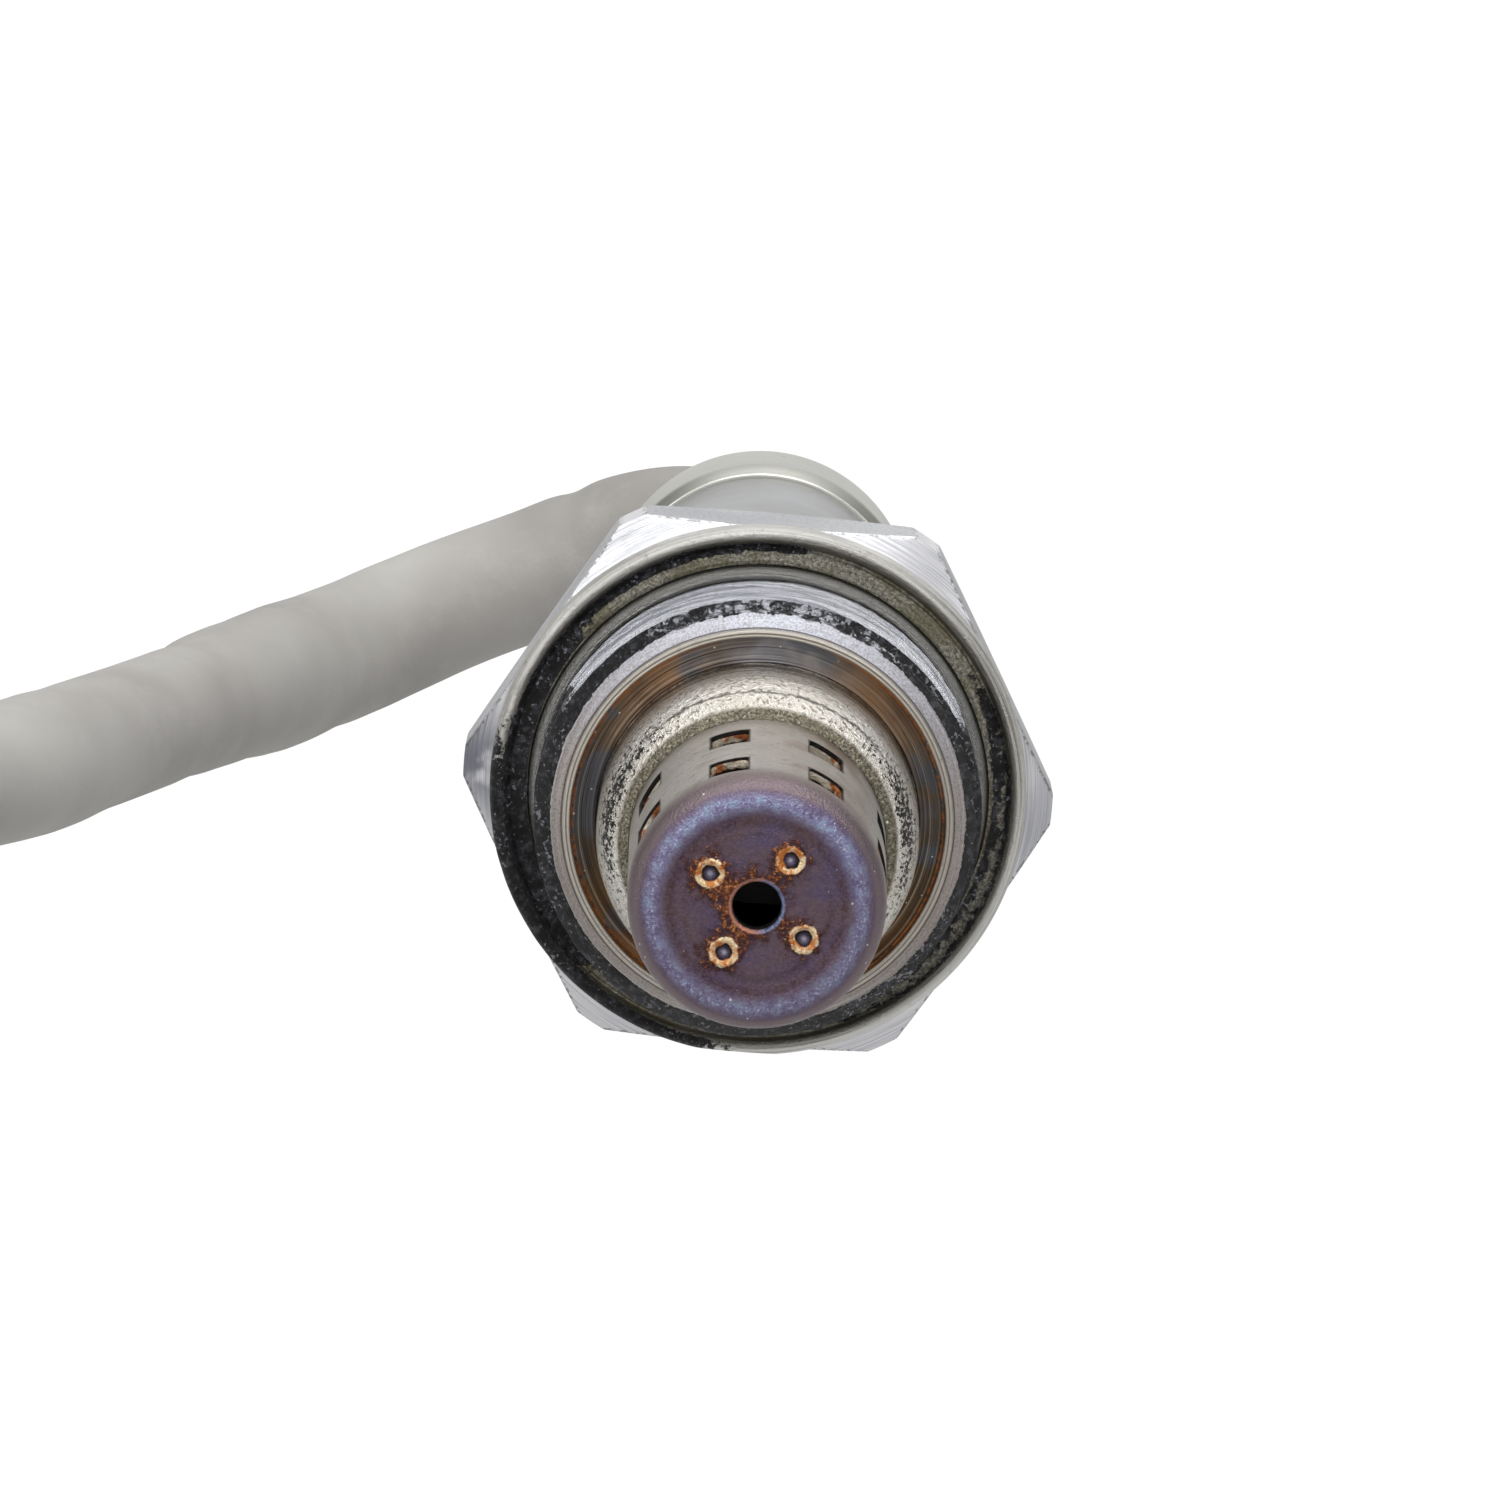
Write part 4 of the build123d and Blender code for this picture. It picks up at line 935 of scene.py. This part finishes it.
def nose_finish(tree):
    """The lip and chamfer: bright turned steel, painted with a highlight that leaves it bluish white above
    and pinkish grey at the sides, with a fine grain, dark lines of painted shade in the lip's grooves, and
    gritty smears of paste round the chamfer's outer part."""
    radius, angle, _, place = on_axis(tree)
    upward = abs(angle)
    quick = noise(place, 2.6, 5.0, 0.7)
    fine = noise(place, 11.0, 4.0, 0.75)
    [marks] = turning_marks(radius, angle * 3.0, 12.0)
    # Painted highlight: the lip and chamfer are bluish white at the top and turn pinkish grey towards the
    # sides, as the light falls on them.
    tone = colors(
        upward, (0.0, (222, 225, 236)), (0.14, (208, 206, 214)), (0.22, (192, 184, 180)),
        (0.32, (178, 168, 162)), (0.5, (186, 178, 172)),
    )
    grained_tone = mixed(within(fine, 0.44, 0.6, 0.5), tone, (120, 112, 108))
    drawn = mixed(within(marks, 0.5, 0.64, 0.35), grained_tone, (232, 230, 232))
    lip = mixed(within(radius, 7.84, 7.8), drawn, (206, 200, 190))
    # Painted shade: dark lines in the lip's grooves.
    grooves = ring(radius, 7.86, 0.05).math("MAXIMUM", ring(radius, 7.66, 0.05) * 0.8)
    groove = mixed(grooves, lip, (92, 84, 76))
    worn = mixed(within(quick, 0.55, 0.7, 0.35), groove, (140, 128, 118))
    smeared = within(radius, 8.12, 8.5) * within(upward, 0.02, 0.16, 0.95, 0.62)
    cover, caked_height = paste(place, smeared)
    height_map = caked_height * 3.0 + (fine * 0.6 + marks)
    return surface(
        mixed(cover, worn, paste_color(place)), roughness=blend(cover, 0.34, 0.42), metallic=1.0 - cover,
        height=height_map, strength=0.7, depth=0.0001,
    )


def thread_finish(tree):
    """The thread: black paste over all of it but for crests rubbed bare, most of them on its upper side."""
    radius, angle, height, place = on_axis(tree)
    upward = abs(angle)
    crest = within(radius, 8.78, 8.9)
    bare = crest * within(upward, 0.22, 0.1)
    caked = within(upward, 0.05, 0.2, 0.86, 0.52)
    cover, caked_height = paste(place, caked - bare)
    [marks] = turning_marks(height, angle * 6.0, 9.0)
    steel = colors(marks, (0.36, (176, 178, 186)), (0.5, (222, 224, 232)), (0.62, (244, 245, 250)))
    fine = noise(place, 12.0, 4.0, 0.7)
    return surface(
        mixed(cover, steel, paste_color(place)), roughness=blend(cover, 0.24, 0.4), metallic=1.0 - cover,
        height=caked_height * 2.0 + fine, strength=0.8, depth=0.00014,
    )


def hexagon_finish(tree):
    """Pale machined steel: fine circular cuts on the front face and the cone at the corners, darker and bluer
    with painted shade at the left corner and a little at the right, plain milled flats, and a ragged burr
    where the two meet."""
    radius, angle, _, place = on_axis(tree)
    turns = angle * 6.0
    off = (turns - turns.math("ROUND")) * (math.pi / 3)
    reach = radius * off.math("COSINE")
    on_flat = within(reach, HEX_HALF - 0.05, HEX_HALF - 0.01)
    [marks] = turning_marks(radius, angle * 12.0, 15.0)
    slow = noise(place, 0.25, 2.0)
    quick = noise(place, 5.0, 4.0)
    cut = colors(marks, (0.38, (204, 205, 210)), (0.5, (232, 232, 236)), (0.6, (250, 250, 252)))
    # Painted shade: the cuts turn darker and bluer at the hexagon's left corner, and a little at its right,
    # where the dark sides of the tent are reflected.
    at_sides = ring(angle, -0.25, 0.045).math("MAXIMUM", ring(angle, 0.26, 0.05) * 0.4)
    side_shade = at_sides * within(noise(place, 0.5, 3.0), 0.3, 0.5, 0.85)
    shaded_cut = mixed(side_shade, cut, (112, 114, 128))
    flats = colors(slow, (0.35, (196, 197, 201)), (0.65, (214, 215, 217)))
    nicked = mixed(within(noise(place, 1.3, 6.0, 0.75), 0.68, 0.76, 0.5), flats, (120, 116, 114))
    rough_edge = ring(reach, HEX_HALF - 0.06, 0.09) * within(quick, 0.5, 0.56, 0.7)
    bare = mixed(on_flat, shaded_cut, nicked)
    return surface(
        mixed(rough_edge, bare, (110, 108, 108)), roughness=blend(on_flat, 0.3, 0.45),
        metallic=blend(on_flat, 1.0, 0.8), height=blend(on_flat, marks, quick), strength=0.5, depth=0.00007,
    )


nose_steel = finish("nose_steel", nose_finish)
thread_steel = finish("pasted_thread", thread_finish)
hexagon_steel = finish("hexagon_steel", hexagon_finish)
housing_cells = grid_faces(len(housing_section), len(housing_around), ring=True)
cell_section = section_rows[housing_cells[:, 0] // len(housing_around)]
section_finish = np.array([0, 1, 1, 2, 2], np.int32)  # each section's place in the finishes below
housing = mesh_piece(
    "housing_body",
    about_axis(housing_radius, housing_turn, housing_height),
    housing_cells.tolist(),
    [nose_steel, thread_steel, hexagon_steel],
    crease=28,
    material_rows=section_finish[cell_section],
)
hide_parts("housing")
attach(housing, "root")

# --------------------------------------
# The gasket: a ring folded from thin steel sheet, held captive behind the thread, with a smooth inner bead,
# a dished band and a fatter outer bead. It is dirty, and paste from the thread lies on it in thick smears.

GASKET_BORE = 8.75
GASKET_RADIUS = 10.95
GASKET_COLUMNS = 240
GASKET_SPAN = 12  # radius that one repeat of the ring's lumps covers
LEFT_SMEAR = (0.70, 0.13)  # its middle, in turns clockwise from the top, and its width
RIGHT_SMEAR = (0.30, 0.12)
gasket_section = np.concatenate([
    arc((9.05, 2.0), 0.3, 180, 15, 12),
    rounded([(9.35, 2.04, 0), (9.37, 1.93, 0.03), (9.42, 1.98, 0.03), (9.6, 2.0, 0)]),
    rounded([
        (9.95, 1.99, 0), (10.08, 1.97, 0.04), (10.14, 1.86, 0.05), (10.24, 1.88, 0.05), (10.32, 2.06, 0),
    ]),
    arc((10.62, 1.98), 0.32, 160, 0, 14),
    rounded([
        (GASKET_RADIUS, 1.7, 0), (GASKET_RADIUS - 0.04, 1.45, 0.1), (GASKET_RADIUS, 1.25, 0),
        (GASKET_RADIUS, HEX_FRONT, 0.2), (GASKET_BORE, HEX_FRONT, 0.2), (GASKET_BORE, 1.8, 0),
    ]),
])
gasket_radius, gasket_turn, gasket_height = revolved(gasket_section, evenly_round(GASKET_COLUMNS))
gasket_share = gasket_turn / FULL_TURN
on_top = np.clip((gasket_height - 1.5) / 0.4, 0, 1)


def smear_at(middle, width):
    """How thick a smear lies at each point of the ring, from its middle and width in turns."""
    return hill((gasket_share - middle + 0.5) % 1 - 0.5, width)


# Paste stands on the ring from about seven to ten o'clock, and more thinly on its right, in soft lumps.
left_side = smear_at(*LEFT_SMEAR) * np.clip((gasket_radius - 9.3) / 0.3, 0, 1)
right_side = smear_at(*RIGHT_SMEAR) * hill(gasket_radius - 10.0, 0.4)
clods = 0.09 * lumps(gasket_share, gasket_radius / GASKET_SPAN, (90, 24), 31)
crumbs = 0.06 * lumps(gasket_share, gasket_radius / GASKET_SPAN, (260, 60), 33)
dents = 0.015 * lumps(gasket_share, gasket_radius / GASKET_SPAN, (40, 12), 32)
smear = (left_side + 0.6 * right_side) * (0.10 + clods + crumbs)
gasket_height = gasket_height + on_top * (smear + dents)


def gasket_finish(tree):
    """Steel sheet: smooth and grey on its inner bead, with a painted highlight along it and painted shade
    towards the bore, a dark line of painted shade in the groove beside it, olive and gritty on its band,
    bright and finely ridged on its outer rim. Paste lies thick on its left and right, and in a ragged line
    along its groove above."""
    radius, angle, _, place = on_axis(tree)
    quick = noise(place, 2.2, 5.0, 0.7)
    fine = noise(place, 7.0, 4.0, 0.75)
    [ridges] = turning_marks(radius, angle * 4.0, 6.0)
    turned_left = angle + angle.math("LESS_THAN", 0.0)
    rim_tone = colors(ridges, (0.36, (150, 148, 142)), (0.48, (208, 205, 199)), (0.6, (236, 235, 231)))
    rim = mixed(within(radius, 10.72, 10.4), rim_tone, (150, 146, 136))
    grit_tone = colors(fine, (0.38, (104, 100, 90)), (0.5, (150, 146, 134)), (0.62, (196, 192, 178)))
    olive = within(noise(place, 0.45, 3.0), 0.45, 0.6, 0.6)
    band_tone = mixed(olive, grit_tone, (116, 110, 82))
    band = mixed(within(radius, 10.28, 10.18), rim, band_tone)
    # The inner bead's grey carries painted light: near black at the bore, a bright painted highlight just
    # outside it, then painted shade darkening towards the band.
    bead_painted_light = colors(
        radius - 8.7, (0.0, (70, 69, 68)), (0.2, (196, 194, 188)), (0.35, (160, 159, 156)),
        (0.62, (118, 117, 114)),
    )
    bead = mixed(within(radius, 9.42, 9.36), band, bead_painted_light)
    # Painted shade: a dark line in the groove between the inner bead and the band.
    lined = mixed(ring(radius, 9.39, 0.06), bead, (38, 36, 32))
    past_band = turned_left + within(radius, 10.3, 10.5, 0.047, -0.04)
    past_bead = past_band + within(radius, 9.5, 9.42, 0.15, 0.0)
    left = ring(past_bead, 0.69, 0.24) * 1.1
    above = ring(turned_left, 0.9, 0.19) * ring(radius, 10.12, 0.5)
    middle = ring(angle, 0.0, 0.04) * ring(radius, 10.12, 0.4)
    right = ring(turned_left, 0.31, 0.27) * ring(radius, 9.95, 0.72)
    upper = above.math("MAXIMUM", middle) * 0.98
    smeared = left.math("MAXIMUM", upper).math("MAXIMUM", right * 1.25)
    cover, caked_height = paste(place, smeared)
    worn = mixed(within(quick, 0.56, 0.7, 0.35), lined, (106, 98, 84))
    smooth = within(radius, 9.4, 9.3)
    crumbly = ring(turned_left, 0.34, 0.26) * ring(radius, 10.0, 0.55)
    crumbs = crumbly * 0.3 + noise(place, 1.5, 5.0, 0.75)
    crumb_tone = colors(fine, (0.4, (92, 90, 82)), (0.5, (140, 136, 122)), (0.6, (190, 186, 172)))
    caked_tone = mixed(within(crumbs, 0.66, 0.74, 0.85), paste_color(place), crumb_tone)
    return surface(
        mixed(cover, worn, caked_tone), roughness=blend(cover, within(smooth, 0.0, 1.0, 0.24, 0.38), 0.42),
        metallic=(1.0 - cover) * 0.9, height=caked_height * 3.5 + (fine + ridges), strength=0.8,
        depth=0.0001,
    )


gasket_steel = finish("gasket_sheet_steel", gasket_finish)
gasket = mesh_piece(
    "gasket_ring",
    about_axis(gasket_radius, gasket_turn, gasket_height),
    grid_faces(len(gasket_section), GASKET_COLUMNS, ring=True).tolist(),
    [gasket_steel],
)
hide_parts("sealing_gasket")
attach(gasket, "root")

# --------------------------------------
# The inner tube and what it shields: a second drawn cup with gas holes, and the zirconia element inside it.
# Hot gas has rusted the inner tube; it shows through the outer one's windows.

SOOT = (12, 11, 10)
SOOT_FROM = DATUM_Y * MM - 0.010
SOOT_FULL = DATUM_Y * MM - 0.014


def inner_tube_finish(tree):
    """Steel that hot gas has eaten: bright where it is still whole, rust brown and black in ragged patches,
    and sooty inside."""
    radius, _, _, place = on_axis(tree)
    quick = noise(place, 1.6, 6.0, 0.75)
    tone = colors(
        quick, (0.38, (30, 20, 16)), (0.47, (96, 56, 34)), (0.53, (196, 146, 96)), (0.6, (206, 196, 180)),
    )
    return surface(
        mixed(within(radius, 3.7, 3.6), tone, SOOT), roughness=0.42,
        metallic=within(quick, 0.44, 0.56, 0.9) * within(radius, 3.6, 3.7), height=quick, strength=0.9,
        depth=0.0004,
    )


def paint(material, *names):
    """Gives CAD nodes their finish; their meshes stay as they are."""
    for name in names:
        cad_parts[name].material_slots[0].material = material


def grained(name, tone, darker, scale, roughness, metallic=0.0, bump=0.3):
    """A finish of one tone that wanders to a darker one in soft patches, with a fine grain, for fired,
    moulded and pressed pieces."""
    def build(tree):
        place = node(tree, "ShaderNodeTexCoord", out="Object")
        patches = noise(place, scale, 4.0, 0.6)
        grain = noise(place, scale * 14, 3.0, 0.6)
        return surface(
            mixed(within(patches, 0.38, 0.66), tone, darker),
            roughness=within(grain, -1.0, 1.5, roughness * 1.6), metallic=metallic, height=grain,
            strength=bump, depth=0.00005,
        )
    return finish(name, build)


paint(finish("rusted_inner_tube", inner_tube_finish), "inner_protection_tube")


def element_finish(tree):
    """White zirconia with a grey platinum electrode along the middle of each face, black with soot where it
    stands in the gas."""
    place = node(tree, "ShaderNodeTexCoord", out="Object")
    side, back, _ = map(Value, new_node(tree, "ShaderNodeSeparateXYZ", {0: place}).outputs)
    track = ring(abs(side), 0.9 * MM, 0.45 * MM)
    tone = colors(noise(place, 900.0, 3.0), (0.3, (224, 222, 214)), (0.7, (240, 238, 232)))
    coated = mixed(within(track, 0.3, 0.5), tone, (128, 128, 132))
    return surface(
        mixed(within(back, SOOT_FROM, SOOT_FULL), coated, SOOT), roughness=0.55,
        height=noise(place, 6000.0), strength=0.2, depth=0.00003,
    )


paint(finish("zirconia", element_finish), "sensing_element")

# --------------------------------------
# The stack in the housing: two fired ceramic bushes with pressed powder between them, gripped by a steel ring
# under the housing's crimped end.

alumina = grained("alumina", (236, 233, 226), (216, 212, 202), 300.0, 0.5)
powder = grained("pressed_powder", (168, 166, 154), (140, 138, 128), 700.0, 0.9, bump=0.8)
spring_steel = grained("hardened_spring_steel", (170, 170, 172), (140, 138, 136), 300.0, 0.35, 1.0)
paint(alumina, "front_insulator", "rear_insulator")
paint(powder, "powder_seal")
paint(spring_steel, "preload_ring")

# --------------------------------------
# The rear sleeve: thin stainless tube, laser-welded round the housing's boss, with a shallow swaged groove
# that holds the contact holder.

SLEEVE_RADIUS = 6.6
SLEEVE_BORE = 6.2
SLEEVE_TOP = -3.4
SLEEVE_END = -45.0
WELD_PLACE = -5.0
WELD_BEAD = (0.05, 0.35)  # height and width
SWAGE_PLACES = (-22.0, -25.5)
SWAGE = (0.14, 0.5)  # depth and width
REAR_COLUMNS = 160


def turned_ring(name, section, material, columns):
    """A closed ring turned from a section, which runs from the tip's side round the outside and back
    inside."""
    vertices = about_axis(*revolved(section, evenly_round(columns)))
    faces = grid_faces(len(section), columns, ring=True).tolist()
    return mesh_piece(name, vertices, faces, [material])


def rolled(name, warm, cool):
    """Rolled stainless steel: long faint lines round it, slow stains, fine specks of dirt."""
    def build(tree):
        _, angle, height, place = on_axis(tree)
        [marks] = turning_marks(height, angle * 4.0, 7.0)
        slow = noise(place, 0.18, 3.0)
        tone = colors(slow, (0.32, warm), (0.68, cool))
        dirt = within(noise(place, 1.1, 6.0, 0.75), 0.64, 0.72, 0.5)
        blued = mixed(ring(height, WELD_PLACE, 1.1), tone, (128, 120, 122))
        return surface(
            mixed(dirt, blued, (92, 84, 76)), roughness=within(marks, -0.8, 1.6, 0.62), metallic=1.0,
            height=marks, strength=0.3, depth=0.00004,
        )
    return finish(name, build)


outside = run((SLEEVE_RADIUS, SLEEVE_TOP - 0.1), (SLEEVE_RADIUS, SLEEVE_END + 0.1), 0.2)
outside[:, 0] += WELD_BEAD[0] * hill(outside[:, 1] - WELD_PLACE, WELD_BEAD[1])
for swage in SWAGE_PLACES:
    outside[:, 0] -= SWAGE[0] * hill(outside[:, 1] - swage, SWAGE[1])
sleeve_section = np.concatenate([
    rounded([
        (SLEEVE_BORE, SLEEVE_TOP, 0), (SLEEVE_RADIUS, SLEEVE_TOP, 0.1), (SLEEVE_RADIUS, SLEEVE_TOP - 0.2, 0),
    ], 3)[:-1],
    outside,
    [(SLEEVE_RADIUS, SLEEVE_END), (SLEEVE_BORE, SLEEVE_END)],
])
sleeve_steel = rolled("rolled_sleeve_steel", (178, 178, 178), (196, 197, 199))
sleeve = turned_ring("sleeve_tube", sleeve_section, sleeve_steel, REAR_COLUMNS)
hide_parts("rear_sleeve")
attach(sleeve, "root")

# --------------------------------------
# The end cover: a pressed steel cap over the sleeve's end, with a conical front edge, rounded behind, that
# squeezes the grommet.

COVER_RADIUS = 7.16
COVER_TOP = -41.2
COVER_END = -46.6
COVER_CONE = 0.62
COVER_LIP = 4.9
COVER_EDGE = 0.45
COVER_WALL = 0.5

cover_side = (COVER_RADIUS, COVER_TOP - 1.0)
cover_section = np.concatenate([
    rounded([
        (SLEEVE_RADIUS, COVER_TOP, 0), (SLEEVE_RADIUS + 0.16, COVER_TOP, 0.1),
        (COVER_RADIUS, COVER_TOP - COVER_CONE, 0.22), (*cover_side, 0),
    ], 7)[:-1],
    run(cover_side, (COVER_RADIUS, COVER_END + COVER_EDGE), 0.3),
    rounded([
        (COVER_RADIUS, COVER_END + 0.6, 0), (COVER_RADIUS, COVER_END, COVER_EDGE),
        (COVER_LIP, COVER_END, 0.12),
    ], 7)[1:],
    [(COVER_LIP, COVER_END + COVER_WALL), (SLEEVE_RADIUS, COVER_END + COVER_WALL)],
])
cover_steel = rolled("pressed_cover_steel", (204, 204, 198), (220, 219, 210))
cover = turned_ring("cover_cap", cover_section, cover_steel, REAR_COLUMNS)
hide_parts("end_cover")
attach(cover, "root")

# --------------------------------------
# Inside the sleeve: the fluoroelastomer grommet that seals it, two ceramic half-shells held by a spring clip,
# four contact springs, and the four wires that run from them into the sheath.

grommet_rubber = grained("grommet_fluoroelastomer", (34, 34, 36), (50, 49, 48), 500.0, 0.62, bump=0.5)
steatite = grained("steatite", (226, 220, 206), (206, 198, 182), 350.0, 0.55)
clip_steel = grained("clip_steel", (160, 158, 152), (128, 118, 104), 260.0, 0.32, 1.0)
plated = grained("nickel_plate", (196, 190, 174), (170, 162, 144), 500.0, 0.28, 1.0)
paint(grommet_rubber, "cable_grommet")
paint(steatite, "contact_holder_upper", "contact_holder_lower")
paint(clip_steel, "holder_clip")
wire_tones = {
    "black": ((26, 26, 28), (40, 40, 42)),
    "grey": ((120, 120, 122), (102, 102, 104)),
    "white": ((222, 220, 214), (202, 199, 190)),
}
wires = {}
for color, (tone, darker) in wire_tones.items():
    wires[color] = grained(f"{color}_wire", tone, darker, 600.0, 0.5)
for number, color in enumerate(("black", "grey", "white", "white"), start=1):
    paint(plated, f"contact_spring_{number}", f"terminal_{number}")
    paint(wires[color], f"sensor_lead_{number}", f"connector_lead_{number}")

# --------------------------------------
# The far end of the lead: a nylon tie round the coil, a rubber boot, and a four-way moulded connector with
# its silicone seal, retainer and terminal lock.

nylon = grained("tie_nylon", (30, 30, 32), (46, 46, 48), 420.0, 0.42)
boot_rubber = grained("moulded_boot_rubber", (32, 32, 34), (48, 47, 46), 380.0, 0.66, bump=0.6)
moulded = grained("moulded_polyester", (52, 53, 56), (66, 66, 68), 160.0, 0.46, bump=0.45)
lock_plastic = grained("moulded_lock_plastic", (196, 192, 182), (176, 170, 158), 200.0, 0.48)
silicone = grained("seal_silicone", (168, 84, 44), (140, 66, 34), 320.0, 0.5)
paint(nylon, "coil_tie")
paint(boot_rubber, "connector_boot")
paint(moulded, "connector_body")
paint(lock_plastic, "seal_retainer", "terminal_lock")
paint(silicone, "connector_rear_seal")
